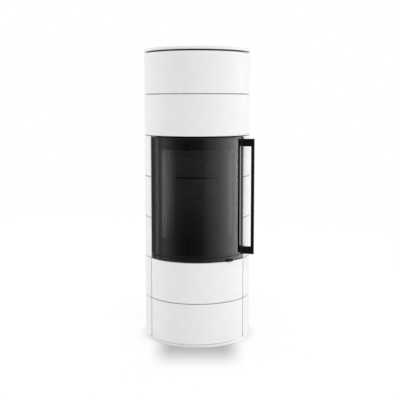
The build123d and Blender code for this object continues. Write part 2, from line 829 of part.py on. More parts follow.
def door_frame():
    """Steel door: a curved frame behind the glass and a stile at each side."""
    half = door_half_angle
    frame = sector(door_inner, frame_outer, -half, half, door_bottom, door_top)
    frame += sector(door_inner, door_outer, -half, -stile_start_angle, door_bottom, door_top)
    frame += sector(door_inner, door_outer, stile_start_angle, half, door_bottom, door_top)
    upright = frame.edges().filter_by(Axis.Z)
    corner_x = polar(door_outer, half)[0]
    corners = [edge for edge in upright if abs(abs(edge.center().X) - corner_x) < weld_gap]
    frame = fillet(corners, stile_edge_radius)
    frame -= sector(door_inner - spare, frame_outer + spare, -window_half_angle, window_half_angle,
                    window_bottom, window_top)
    frame -= rod(hinge_pin_radius + hinge_play, hinge_pin_path, hinge_angle, door_bottom - spare,
                 door_bottom + hinge_pin_depth + hinge_pin_end_gap)
    frame -= rod(hinge_pin_radius + hinge_play, hinge_pin_path, hinge_angle,
                 door_top - hinge_pin_depth - hinge_pin_end_gap, door_top + spare)
    frame -= rod(rod_radius + rod_play, rod_path, rod_angle, handle_bottom, handle_top)
    reach = hub_radius + hub_clearance
    notch_start = rod_angle - degrees(reach / rod_path)
    for low in (handle_bottom, handle_top - handle_arm_height):
        frame -= sector(rod_path - reach, outer_radius, notch_start, joint_angle,
                        low - handle_slot_gap, low + handle_arm_height + handle_slot_gap)
    for level in tongue_levels:
        frame -= sector(door_inner - spare, rod_path + tongue_pocket_past_rod,
                        stile_start_angle - tongue_pocket_spare_angle, joint_angle,
                        level - tongue_pocket_gap, level + tongue_height + tongue_pocket_gap)
    return frame


def door_glass():
    """Curved pane that covers the whole door between the stiles."""
    pane = sector(glass_inner, door_outer, -glass_half_angle, glass_half_angle, glass_bottom, glass_top)
    return fillet(widest_face_edges(pane), glass_edge_radius)


def glass_rails():
    """Thin steel strips above and below the glass."""
    inner = frame_outer + tape_gap
    return group([
        sector(inner, door_outer, -glass_half_angle, glass_half_angle, door_top - rail_top_height, door_top),
        sector(inner, door_outer, -glass_half_angle, glass_half_angle, door_bottom,
               door_bottom + rail_bottom_height),
    ])


def glass_tape():
    """Flat gasket between the frame and the glass."""
    inner = frame_outer + tape_gap
    outer = glass_inner - tape_gap
    low = glass_bottom + tape_end_gap
    high = glass_top - tape_end_gap
    cut_half = tape_half_angle - tape_width_angle
    tape = sector(inner, outer, -tape_half_angle, tape_half_angle, low, high)
    return tape - sector(inner - spare, outer + spare, -cut_half, cut_half,
                         window_bottom - tape_window_margin, window_top + tape_window_margin)


def door_rope():
    """Rope gasket on the back of the door, pressed flat on the flange."""
    rope = sector(rope_inner, rope_outer, -rope_half_angle, rope_half_angle, rope_bottom, rope_top)
    cut_half = rope_half_angle - rope_width_angle
    rope -= sector(rope_inner - spare, rope_outer + spare, -cut_half, cut_half,
                   rope_bottom + rope_width, rope_top - rope_width)
    return rope


def handle_block(start, end, half_width, bottom, top, direction=handle_direction):
    """Straight block that points away from the latch rod."""
    return at(rod_path, rod_angle) * Rot(0, 0, direction) * block(start, end, -half_width, half_width,
                                                                  bottom, top)


def handle_loop():
    """Two flat arms and a thicker grip bar outside the door, with a hub on the rod at each end."""
    arm_length = handle_reach - handle_bar_width
    loop = handle_block(arm_length, handle_reach, handle_bar_depth / 2, handle_bottom, handle_top)
    loop = fillet(loop.edges().filter_by(Axis.Z), handle_edge_radius)
    for low in (handle_bottom, handle_top - handle_arm_height):
        loop += handle_block(0, arm_length + handle_edge_radius, handle_thickness / 2, low,
                             low + handle_arm_height)
        loop += rod(hub_radius, rod_path, rod_angle, low, low + handle_arm_height)
    return loop - rod(rod_radius + weld_gap, rod_path, rod_angle, handle_bottom - spare,
                      handle_top + spare)


def latch_rod():
    """Round rod through the right stile with two latch tongues."""
    bar = rod(rod_radius, rod_path, rod_angle, handle_bottom + spare, handle_top - spare)
    for level in tongue_levels:
        bar += handle_block(0, tongue_length, tongue_width / 2, level, level + tongue_height,
                            tongue_direction)
    return bar


def all_nodes():
    """Every node of the stove by name."""
    nodes = tiles()
    nodes.update({
        "joint_clips": joint_clips(),
        "joint_pads": joint_pads(),
        "plinth_ring": plinth_ring(),
        "base_plate": base_plate(),
        "levelling_feet": levelling_feet(),
        "body_shell": body_shell(),
        "body_lid": body_lid(),
        "tile_posts": drill_posts(tile_posts()),
        "rear_panel": rear_panel(),
        "panel_screws": panel_screws(),
        "top_plate": top_plate(),
        "top_plate_spacers": top_plate_spacers(),
        "firebox_floor": firebox_floor(),
        "firebox_ceiling": firebox_ceiling(),
        "side_board_left": side_board(-1),
        "side_board_right": side_board(1),
        "rear_board_lower": rear_board(hearth_top, rear_board_joint_height - board_joint / 2),
        "rear_board_upper": rear_board_upper(),
        "floor_bricks": floor_bricks(),
        "baffle_plate": baffle_plate(),
        "fire_grate": fire_grate(),
        "ash_recess": ash_recess(),
        "ash_pan": ash_pan(),
        "log_retainer": log_retainer(),
        "flue_collar": flue_collar(),
        "storage_rings": storage_rings(),
        "air_inlet_spigot": inlet_spigot(),
        "air_duct": air_duct(),
        "air_valve_ring": air_valve_ring(),
        "lever_knob": lever_knob(),
        "door_surround": door_surround(),
        "door_sill": door_sill(),
        "hinge_pins": hinge_pins(),
        "latch_catches": latch_catches(),
        "door_frame": door_frame(),
        "door_glass": door_glass(),
        "glass_rails": glass_rails(),
        "glass_tape": glass_tape(),
        "door_rope": door_rope(),
        "latch_rod": latch_rod(),
        "handle_loop": handle_loop(),
    })
    return nodes


os.makedirs("parts", exist_ok=True)
for node_name, shape in all_nodes().items():
    export_step(shape, f"parts/{node_name}.step")
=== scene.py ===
import json
import logging
import math
from collections.abc import Callable, Sequence
from dataclasses import dataclass
from enum import Enum

import bmesh
import bpy
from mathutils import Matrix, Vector

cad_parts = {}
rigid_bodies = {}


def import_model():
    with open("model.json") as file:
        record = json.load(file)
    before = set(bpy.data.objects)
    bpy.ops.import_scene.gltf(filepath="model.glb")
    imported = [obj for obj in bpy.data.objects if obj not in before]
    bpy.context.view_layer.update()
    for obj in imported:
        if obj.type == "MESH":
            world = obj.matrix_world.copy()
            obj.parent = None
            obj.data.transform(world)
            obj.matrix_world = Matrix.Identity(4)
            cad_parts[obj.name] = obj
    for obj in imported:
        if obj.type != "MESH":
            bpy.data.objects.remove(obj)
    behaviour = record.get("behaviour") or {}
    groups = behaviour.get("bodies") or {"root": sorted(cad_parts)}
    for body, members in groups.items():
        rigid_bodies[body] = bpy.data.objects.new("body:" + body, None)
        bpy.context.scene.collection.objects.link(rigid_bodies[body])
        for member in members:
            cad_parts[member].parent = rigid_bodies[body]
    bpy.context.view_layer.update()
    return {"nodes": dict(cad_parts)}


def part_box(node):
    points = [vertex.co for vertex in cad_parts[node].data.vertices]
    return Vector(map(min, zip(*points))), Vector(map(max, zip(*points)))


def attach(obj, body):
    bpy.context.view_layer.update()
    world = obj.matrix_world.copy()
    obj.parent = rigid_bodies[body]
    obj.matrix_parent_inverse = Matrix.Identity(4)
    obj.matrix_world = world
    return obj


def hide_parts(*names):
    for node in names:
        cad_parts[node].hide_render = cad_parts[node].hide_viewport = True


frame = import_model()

Tree = bpy.types.NodeTree
Node = bpy.types.Node
Socket = bpy.types.NodeSocket
Feed = Node | Socket
"""What feeds an input: a socket, or a node, whose first output in use then feeds it."""
Settings = dict[str | int, object]
Links = dict[str | int, Feed]
Shape = bmesh.types.BMesh

LOG = logging.getLogger("tiled_stove")
MM = 0.001
"""One millimetre in Blender's metres."""

COURSES = 7
COURSE_PITCH_MM = 190.4
FIRST_COURSE_MM = 14.0
TILE_JOINT_MM = 2.4
OUTER_RADIUS_MM = 250.0

UP = Vector((0, 0, 1))
WHITE = (1.0, 1.0, 1.0, 1.0)
UNDER, OVER = 6, 7
"""A Mix node's two colour inputs, which come after those for numbers and vectors."""
WAVE_CRESTS = 10 * math.sqrt(3) / math.tau
"""Crests of a diagonal wave texture in one unit, counted square to them, where its scale is 1."""


# ---------------------------------------------------------------- small tools


def linear(hex_colour: str) -> tuple[float, float, float, float]:
    """Turns an sRGB hex colour into the linear colour that a shader takes.

    Args:
        hex_colour: six hex digits after a hash sign.

    Returns:
        Red, green, blue and alpha, linear and opaque.
    """
    parts = [int(hex_colour[at : at + 2], 16) / 255 for at in (1, 3, 5)]
    turned = [part / 12.92 if part <= 0.04045 else ((part + 0.055) / 1.055) ** 2.4 for part in parts]
    return turned[0], turned[1], turned[2], 1.0


def clear_tree(owner: bpy.types.Material | bpy.types.World) -> Tree:
    """Gives a material or a world an empty node tree.

    Args:
        owner: the material or world.

    Returns:
        Its node tree.
    """
    owner.use_nodes = True
    owner.node_tree.nodes.clear()
    return owner.node_tree


def add_node(tree: Tree, kind: str, settings: Settings | None = None, links: Links | None = None) -> Node:
    """Adds one node with its settings and the links into it.

    Args:
        tree: the tree that the node goes into.
        kind: the node's type name, without the ShaderNode that they all start with.
        settings: property or input names (or input numbers), each with its value.
        links: input names (or numbers), each with what feeds it.

    Returns:
        The new node.
    """
    node = tree.nodes.new(f"ShaderNode{kind}")
    for name, value in (settings or {}).items():
        if isinstance(name, str) and name in node.bl_rna.properties:
            setattr(node, name, value)
        else:
            node.inputs[name].default_value = value
    for name, source in (links or {}).items():
        if isinstance(source, Node):
            source = next(output for output in source.outputs if output.enabled)
        tree.links.new(source, node.inputs[name])
    return node


def paint(tree: Tree, ground: str, *coats: tuple[str, Feed]) -> Node:
    """Lays colours over one another.

    Args:
        tree: the material's node tree.
        ground: the lowest colour, in hex.
        coats: the colours over it in their order, each with what gives its share.

    Returns:
        The node that gives the colour.
    """
    painted = None
    for colour, share in coats:
        settings = {"data_type": "RGBA", OVER: linear(colour)}
        links = {0: share}
        if painted is None:
            settings[UNDER] = linear(ground)
        else:
            links[UNDER] = painted
        painted = add_node(tree, "Mix", settings, links)
    return painted


def surface(
    tree: Tree, relief: Feed, depth_mm: float, settings: Settings, links: Links, strength: float = 1.0
) -> Node:
    """Adds the shader of a surface with a relief.

    Args:
        tree: the material's node tree.
        relief: what gives the relief's height.
        depth_mm: the relief's depth.
        settings: the shader's inputs, each with its value.
        links: the shader's inputs, each with what feeds it.
        strength: how much of the relief shows.

    Returns:
        The shader.
    """
    bump = add_node(tree, "Bump", {"Strength": strength, "Distance": depth_mm * MM}, {"Height": relief})
    return add_node(tree, "BsdfPrincipled", settings, {**links, "Normal": bump})


def turn_from_front(tree: Tree, axes: Node) -> Node:
    """Adds the angle about the stove's axis, counted from the front.

    Args:
        tree: the tree that the nodes go into.
        axes: the node that gives X and Y.

    Returns:
        The node that gives the angle in radians, positive towards +X.
    """
    towards_front = add_node(tree, "Math", {"operation": "MULTIPLY", 1: -1.0}, {0: axes.outputs["Y"]})
    return add_node(tree, "Math", {"operation": "ARCTAN2"}, {0: axes.outputs["X"], 1: towards_front})


def on_circle(radius: float, degrees: float, height: float) -> Vector:
    """Gives a point on an upright cylinder about the stove's axis.

    Args:
        radius: distance from the axis, in metres.
        degrees: angle from the front, growing towards the stove's right side (+X).
        height: height above the floor, in metres.

    Returns:
        The point in the stove's own frame.
    """
    turn = math.radians(degrees)
    return Vector((radius * math.sin(turn), -radius * math.cos(turn), height))


def circle(radius: float, height: float, sides: int) -> list[Vector]:
    """Gives points all round the stove's axis at one height.

    Args:
        radius: distance from the axis, in metres.
        height: height above the floor, in metres.
        sides: how many points.

    Returns:
        The points, from the front towards +X.
    """
    return [on_circle(radius, 360 * step / sides, height) for step in range(sides)]


def join_loops(shape: Shape, loops: Sequence[Sequence[bmesh.types.BMVert]]) -> None:
    """Fills the bands between closed loops that follow one another.

    Args:
        shape: the bmesh that holds the loops.
        loops: the loops, each with as many vertices.
    """
    for first, second in zip(loops, loops[1:]):
        for step in range(len(first)):
            after = (step + 1) % len(first)
            shape.faces.new((first[step], first[after], second[after], second[step]))


def link_object(name: str, data: bpy.types.ID) -> bpy.types.Object:
    """Puts new object data into the scene.

    Args:
        name: the object's name.
        data: its mesh, curve, light or camera data.

    Returns:
        The new object.
    """
    made = bpy.data.objects.new(name, data)
    bpy.context.scene.collection.objects.link(made)
    return made


def mesh_object(
    name: str, build: Callable[[Shape], None], material: bpy.types.Material, smooth: bool = True
) -> bpy.types.Object:
    """Makes an object from a function that fills a bmesh.

    Args:
        name: the object's name.
        build: the function that adds the vertices and faces.
        material: the material of the whole object.
        smooth: whether its faces are shaded smooth.

    Returns:
        The new object.
    """
    shape = bmesh.new()
    build(shape)
    bmesh.ops.recalc_face_normals(shape, faces=shape.faces)
    for face in shape.faces:
        face.smooth = smooth
    mesh = bpy.data.meshes.new(name)
    shape.to_mesh(mesh)
    shape.free()
    mesh.materials.append(material)
    return link_object(name, mesh)


# ------------------------------------------------------------------- finishes


class Sheen(Enum):
    """How much a coat shines, as a roughness."""

    MATT = 0.62
    SATIN = 0.40
    SILK = 0.28
    GLOSS = 0.14


class Plating(Enum):
    """How a bare sheet or bar was plated, as its lowest and highest roughness."""

    BRIGHT_ZINC = (0.24, 0.40)
    HOT_DIPPED = (0.32, 0.52)


@dataclass(frozen=True)
class Finish:
    """One surface finish; a finish below says what it is made of and how.

    Attributes:
        slot: the record's material slot that the finish is meant for; nothing here reads it.
        title: the material's name in the scene.
    """

    slot: str
    title: str

    def shade(self, tree: Tree, place: Socket) -> Node:
        """Adds the finish's nodes.

        Args:
            tree: the material's node tree.
            place: object coordinates, in metres.

        Returns:
            The shader that the surface takes.
        """
        raise NotImplementedError

    def material(self) -> bpy.types.Material:
        """Makes the material, or gives back the one made before.

        Returns:
            The material.
        """
        made = bpy.data.materials.get(self.title)
        if made:
            return made
        made = bpy.data.materials.new(self.title)
        tree = clear_tree(made)
        place = add_node(tree, "TexCoord").outputs["Object"]
        add_node(tree, "OutputMaterial", links={"Surface": self.shade(tree, place)})
        return made

    def dress(self, *nodes: str) -> None:
        """Gives the finish to CAD nodes.

        Args:
            nodes: the nodes' names.
        """
        for name in nodes:
            for material_slot in frame["nodes"][name].material_slots:
                material_slot.material = self.material()


@dataclass(frozen=True)
class SatinGlaze(Finish):
    """Stoneware tile, sprayed with white glaze and fired to a satin gloss.

    The eye sees a clean, slightly cool white that brightens softly towards the edge of the round. The
    glaze settles in slow ripples and thins to a greyer line where it breaks over each tile's upper and
    lower edge. Along the upright joints below the door the tile edges are grey: the unglazed body,
    darkened further as painted shade for the shadow in the joint.

    Attributes:
        pooled: colour where the glaze lies thick.
        thin: colour where it lies thin.
        broken: colour where it breaks over an edge.
        bare_and_shade: colour of the unglazed body.
        pool_mm: width of a pool of glaze.
        pool_range: noise at which the glaze is thin, and at which it is thick.
        ripple_mm: length of a ripple.
        ripple_depth_mm: depth of a ripple.
        break_mm: width of the broken line.
        bare_and_shade_mm: half the width of the grey strip of unglazed body and painted shade.
        bare_and_shade_full: share of that width that is wholly grey.
        bare_and_shade_full: share of that width that is wholly bare.
        joint_deg: angle of the joints below the door from the front.
        roughness: roughness of the smoothest and of the dullest glaze.
        mirror: specular level; the satin surface mirrors less than clear glass, which has 0.5.
    """

    slot: str = "white_glaze"
    title: str = "glazed_stoneware"
    pooled: str = "#EEEEEF"
    thin: str = "#ECECEE"
    broken: str = "#D9D9DB"
    bare_and_shade: str = "#7C7C7E"
    pool_mm: float = 60.0
    pool_range: tuple[float, float] = (0.38, 0.62)
    ripple_mm: float = 14.0
    ripple_depth_mm: float = 0.012
    break_mm: float = 2.2
    bare_and_shade_mm: float = 2.3
    bare_and_shade_full: float = 0.75
    joint_deg: float = 59.2
    roughness: tuple[float, float] = (0.30, 0.38)
    mirror: float = 0.07

    def bare_and_shade_edge(self, tree: Tree, axes: Node) -> Node:
        """Finds the strip of unglazed body and painted shade along the upright joints below the door.

        Args:
            tree: the material's node tree.
            axes: the node that gives the place's X, Y and Z.

        Returns:
            A node that gives 1 on the strip and 0 on the glaze.
        """
        side = add_node(tree, "Math", {"operation": "ABSOLUTE"}, {0: turn_from_front(tree, axes)})
        joint = math.radians(self.joint_deg)
        past_joint = add_node(tree, "Math", {"operation": "SUBTRACT", 1: joint}, {0: side})
        away = add_node(tree, "Math", {"operation": "ABSOLUTE"}, {0: past_joint})
        strip = self.bare_and_shade_mm / OUTER_RADIUS_MM
        edges = {"From Min": strip, "From Max": strip * self.bare_and_shade_full}
        faded = add_node(tree, "MapRange", edges, {"Value": away})
        door_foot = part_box("tile_course_2_front")[1][2] + TILE_JOINT_MM * MM
        below_door = add_node(tree, "Math", {"operation": "LESS_THAN", 1: door_foot}, {0: axes.outputs["Z"]})
        return add_node(tree, "Math", {"operation": "MULTIPLY"}, {0: faded, 1: below_door})

    def broken_edge(self, tree: Tree, axes: Node) -> Node:
        """Finds the line along each tile's upper and lower edge.

        Args:
            tree: the material's node tree.
            axes: the node that gives the place's X, Y and Z.

        Returns:
            A node that gives 1 on the edge and 0 away from it.
        """
        half_joint = TILE_JOINT_MM / 2
        lowest = {"operation": "SUBTRACT", 1: (FIRST_COURSE_MM - half_joint) * MM}
        above_joint = add_node(tree, "Math", lowest, {0: axes.outputs["Z"]})
        half_course = {"operation": "PINGPONG", 1: COURSE_PITCH_MM / 2 * MM}
        to_joint = add_node(tree, "Math", half_course, {0: above_joint})
        edges = {
            "interpolation_type": "SMOOTHSTEP",
            "From Min": (half_joint + self.break_mm) * MM,
            "From Max": half_joint * MM,
        }
        return add_node(tree, "MapRange", edges, {"Value": to_joint})

    def shade(self, tree: Tree, place: Socket) -> Node:
        """Adds the glaze's nodes.

        Args:
            tree: the material's node tree.
            place: object coordinates, in metres.

        Returns:
            The shader that the surface takes.
        """
        broad = {"Scale": 1 / (self.pool_mm * MM), "Detail": 3.0}
        pools = add_node(tree, "TexNoise", broad, {"Vector": place})
        thin_at, thick_at = self.pool_range
        depth = add_node(tree, "MapRange", {"From Min": thin_at, "From Max": thick_at}, {"Value": pools})
        axes = add_node(tree, "SeparateXYZ", links={"Vector": place})
        edge = self.broken_edge(tree, axes)
        # the joints below the door turn grey: unglazed body, darkened further as painted shade
        strip = self.bare_and_shade_edge(tree, axes)
        colour = paint(tree, self.thin, (self.pooled, depth), (self.broken, edge), (self.bare_and_shade, strip))
        smoothest, dullest = self.roughness
        roughness = add_node(tree, "MapRange", {"To Min": smoothest, "To Max": dullest}, {"Value": pools})
        fine = {"Scale": 1 / (self.ripple_mm * MM), "Detail": 1.0}
        ripples = add_node(tree, "TexNoise", fine, {"Vector": place})
        gloss = {"IOR": 1.5, "Specular IOR Level": self.mirror}
        feeds = {"Base Color": colour, "Roughness": roughness}
        return surface(tree, ripples, self.ripple_depth_mm, gloss, feeds)


@dataclass(frozen=True)
class CoatedSteel(Finish):
    """Sheet steel or bar with a baked coat: powder coat, enamel or heat-resistant paint.

    The eye sees an even colour that drifts a little over a hand's width, a fine orange peel in the
    highlights, and the odd lighter speck where the coat lies thin. The real grain is under a millimetre
    across; it is drawn coarser, so that it shows.

    Attributes:
        colour: the coat's colour.
        drift: the colour that it drifts to.
        speck: the colour of its specks.
        sheen: how much it shines.
        peel_mm: width of a grain of the orange peel.
        peel_depth_mm: depth of the peel.
        drift_mm: width of a patch of drifted colour.
        speck_range: noise at which a speck starts, and at which it is full.
        gloss_level: specular level, with 0.5 for a clear coat.
        metallic: how much metal pigment the coat holds.
        roughness_spread: how far the roughness strays from the sheen's.
    """

    colour: str
    drift: str
    speck: str
    sheen: Sheen
    peel_mm: float = 2.0
    peel_depth_mm: float = 0.02
    drift_mm: float = 90.0
    speck_range: tuple[float, float] = (0.58, 0.72)
    gloss_level: float = 0.5
    metallic: float = 0.0
    roughness_spread: float = 0.05

    def shade(self, tree: Tree, place: Socket) -> Node:
        """Adds the coat's nodes.

        Args:
            tree: the material's node tree.
            place: object coordinates, in metres.

        Returns:
            The shader that the surface takes.
        """
        broad = {"Scale": 1 / (self.drift_mm * MM), "Detail": 4.0, "Roughness": 0.6}
        cloud = add_node(tree, "TexNoise", broad, {"Vector": place})
        fine = {"Scale": 1 / (self.peel_mm * MM), "Detail": 2.0}
        peel = add_node(tree, "TexNoise", fine, {"Vector": place})
        starts, full = self.speck_range
        specks = add_node(tree, "MapRange", {"From Min": starts, "From Max": full}, {"Value": peel})
        colour = paint(tree, self.drift, (self.colour, cloud), (self.speck, specks))
        middle, stray = self.sheen.value, self.roughness_spread
        spread = {"To Min": middle - stray, "To Max": middle + stray}
        roughness = add_node(tree, "MapRange", spread, {"Value": cloud})
        gloss = {"IOR": 1.5, "Specular IOR Level": self.gloss_level, "Metallic": self.metallic}
        feeds = {"Base Color": colour, "Roughness": roughness}
        return surface(tree, peel, self.peel_depth_mm, gloss, feeds)


@dataclass(frozen=True)
class PlatedSteel(Finish):
    """Steel under zinc, plated bright or dipped hot.

    Bright zinc shows fine drawn lines and a bluish grey; a dipped sheet shows spangles, each crystal
    a little lighter or duller than the next. Real drawn lines are a tenth of a millimetre apart; they are
    drawn coarser, so that they show.

    Attributes:
        plating: how it was plated.
        light: colour of the lightest metal.
        dark: colour of the darkest.
        spangle_mm: width of a crystal.
        line_mm: distance of the drawn lines.
        line_scale: the pattern's scale along the lines, as a share of that across them.
    """

    plating: Plating = Plating.BRIGHT_ZINC
    light: str = "#C3C5C8"
    dark: str = "#A3A6AA"
    spangle_mm: float = 9.0
    line_mm: float = 0.8
    line_scale: float = 0.06

    def shade(self, tree: Tree, place: Socket) -> Node:
        """Adds the plating's nodes.

        Args:
            tree: the material's node tree.
            place: object coordinates, in metres.

        Returns:
            The shader that the surface takes.
        """
        if self.plating is Plating.HOT_DIPPED:
            spangles = {"Scale": 1 / (self.spangle_mm * MM)}
            crystals = add_node(tree, "TexVoronoi", spangles, {"Vector": place})
            grain = add_node(tree, "SeparateColor", links={"Color": crystals.outputs["Color"]})
            pattern = grain.outputs["Red"]
        else:
            drawn = add_node(tree, "Mapping", {"Scale": (1.0, 1.0, self.line_scale)}, {"Vector": place})
            fine = {"Scale": 1 / (self.line_mm * MM), "Detail": 2.0}
            pattern = add_node(tree, "TexNoise", fine, {"Vector": drawn})
        colour = paint(tree, self.dark, (self.light, pattern))
        smoothest, dullest = self.plating.value
        roughness = add_node(tree, "MapRange", {"To Min": smoothest, "To Max": dullest}, {"Value": pattern})
        feeds = {"Base Color": colour, "Roughness": roughness}
        return add_node(tree, "BsdfPrincipled", {"Metallic": 1.0}, feeds)


@dataclass(frozen=True)
class PressedBoard(Finish):
    """Vermiculite board, pressed from flakes and blackened by the fire.

    The eye sees a dry charcoal face with small flakes, a few of them lighter, and soot in soft clouds.
    The face darkens towards the bottom. The slot for the rear air is a black line between the boards:
    painted shade on the boards' faces in the slot.
    The flakes are drawn as wide as the largest real ones, so that they show.

    Attributes:
        flake: colour of the flakes.
        soot: colour under the soot's clouds.
        mica: colour of the lightest flakes.
        bottom_dark: colour at the fire bed.
        flake_mm: width of a flake.
        flake_depth_mm: depth of the flakes' relief.
        mica_range: the flakes' random number from which mica shows, and where it is full.
        mica_share: how much of the mica's colour shows.
        soot_mm: width of a cloud of soot.
        bottom_dark_mm: height at which the face is darkest.
        bottom_fade_mm: height above which the face is not darkened.
        painted_slot_shade: colour in the air slot.
        air_slot_mm: height of the slot, from the upper rear board's lower edge.
        face_mm: how far behind the rear boards' face the slot starts.
    """

    flake: str = "#5C5C5B"
    soot: str = "#4C4C4B"
    mica: str = "#7B7A77"
    bottom_dark: str = "#383838"
    flake_mm: float = 4.0
    flake_depth_mm: float = 0.25
    mica_range: tuple[float, float] = (0.82, 1.0)
    mica_share: float = 0.8
    soot_mm: float = 120.0
    bottom_dark_mm: float = 455.0
    bottom_fade_mm: float = 700.0
    painted_slot_shade: str = "#070707"
    air_slot_mm: float = 9.0
    face_mm: float = 0.5

    def slot_shade_mask(self, tree: Tree, axes: Node) -> Node:
        """Finds the air slot between the rear boards, which takes painted shade.

        Args:
            tree: the material's node tree.
            axes: the node that gives the place's X, Y and Z.

        Returns:
            A node that gives 1 in the slot and 0 elsewhere.
        """
        _, rear_face, slot_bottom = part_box("rear_board_upper")[0]
        half_slot = self.air_slot_mm / 2 * MM
        level = {"operation": "COMPARE", 1: slot_bottom + half_slot, 2: half_slot}
        at_height = add_node(tree, "Math", level, {0: axes.outputs["Z"]})
        face = {"operation": "GREATER_THAN", 1: rear_face + self.face_mm * MM}
        behind_face = add_node(tree, "Math", face, {0: axes.outputs["Y"]})
        return add_node(tree, "Math", {"operation": "MULTIPLY"}, {0: at_height, 1: behind_face})

    def shade(self, tree: Tree, place: Socket) -> Node:
        """Adds the board's nodes.

        Args:
            tree: the material's node tree.
            place: object coordinates, in metres.

        Returns:
            The shader that the surface takes.
        """
        flakes = add_node(tree, "TexVoronoi", {"Scale": 1 / (self.flake_mm * MM)}, {"Vector": place})
        tint = add_node(tree, "SeparateColor", links={"Color": flakes.outputs["Color"]})
        broad = {"Scale": 1 / (self.soot_mm * MM), "Detail": 5.0, "Roughness": 0.6}
        clouds = add_node(tree, "TexNoise", broad, {"Vector": place})
        starts, full = self.mica_range
        lightest = {"From Min": starts, "From Max": full, "To Max": self.mica_share}
        bright = add_node(tree, "MapRange", lightest, {"Value": tint.outputs["Red"]})
        axes = add_node(tree, "SeparateXYZ", links={"Vector": place})
        # the face darkens towards the bottom
        heights = {
            "interpolation_type": "SMOOTHSTEP",
            "From Min": self.bottom_fade_mm * MM,
            "From Max": self.bottom_dark_mm * MM,
        }
        towards_bottom = add_node(tree, "MapRange", heights, {"Value": axes.outputs["Z"]})
        coats = (
            (self.flake, clouds),
            (self.mica, bright),
            (self.bottom_dark, towards_bottom),
            # painted shade in the air slot between the rear boards
            (self.painted_slot_shade, self.slot_shade_mask(tree, axes)),
        )
        feeds = {"Base Color": paint(tree, self.soot, *coats)}
        dry = {"Roughness": 0.9, "IOR": 1.5, "Specular IOR Level": 0.2}
        return surface(tree, tint.outputs["Green"], self.flake_depth_mm, dry, feeds, strength=0.6)


@dataclass(frozen=True)
class CastMineral(Finish):
    """A cast or sawn mineral block: chamotte brick, heat-storage concrete or sand-cast iron.

    The eye sees a grainy face with grit of two tones, small pits and a soft change over the block. Real
    grit is about a millimetre across; it is drawn coarser, so that it shows.

    Attributes:
        light: colour of the light grit.
        dark: colour of the dark grit.
        grit_mm: width of a grain.
        pit_depth_mm: depth of the pits.
        roughness: how rough the face is.
        metallic: 0 for a mineral, more for a casting.
        grit_range: noise at which the grit is dark, and at which it is light.
    """

    light: str = "#B5AA95"
    dark: str = "#94897A"
    grit_mm: float = 2.5
    pit_depth_mm: float = 0.25
    roughness: float = 0.85
    metallic: float = 0.0
    grit_range: tuple[float, float] = (0.35, 0.65)

    def shade(self, tree: Tree, place: Socket) -> Node:
        """Adds the mineral's nodes.

        Args:
            tree: the material's node tree.
            place: object coordinates, in metres.

        Returns:
            The shader that the surface takes.
        """
        grains = {"Scale": 1 / (self.grit_mm * MM), "Detail": 6.0, "Roughness": 0.7}
        grit = add_node(tree, "TexNoise", grains, {"Vector": place})
        dark_at, light_at = self.grit_range
        sharp = add_node(tree, "MapRange", {"From Min": dark_at, "From Max": light_at}, {"Value": grit})
        feeds = {"Base Color": paint(tree, self.dark, (self.light, sharp))}
        dry = {"Roughness": self.roughness, "Metallic": self.metallic}
        return surface(tree, grit, self.pit_depth_mm, dry, feeds, strength=0.7)


@dataclass(frozen=True)
class WovenFibre(Finish):
    """Glass or ceramic fibre, twisted into yarn or laid as felt.

    The eye sees threads that cross at a slant, each one catching the light on its crown. Real threads
    are finer than a pixel; they are drawn coarser, so that they show.

    Attributes:
        crown: colour on a thread's crown.
        valley: colour between two threads.
        thread_mm: distance of the real threads.
        coarser: how many times coarser they are drawn.
        thread_depth_mm: depth of the valleys.
    """

    crown: str
    valley: str
    thread_mm: float = 1.1
    coarser: float = 7.2552
    thread_depth_mm: float = 0.15

    def shade(self, tree: Tree, place: Socket) -> Node:
        """Adds the fibre's nodes.

        Args:
            tree: the material's node tree.
            place: object coordinates, in metres.

        Returns:
            The shader that the surface takes.
        """
        weave = {
            "bands_direction": "DIAGONAL",
            "Scale": 1 / (WAVE_CRESTS * self.coarser * self.thread_mm * MM),
            "Distortion": 2.0,
            "Detail": 2.0,
        }
        threads = add_node(tree, "TexWave", weave, {"Vector": place}).outputs["Fac"]
        feeds = {"Base Color": paint(tree, self.valley, (self.crown, threads))}
        soft = {"Roughness": 0.88, "Sheen Weight": 0.3, "Sheen Roughness": 0.5}
        return surface(tree, threads, self.thread_depth_mm, soft, feeds, strength=0.5)


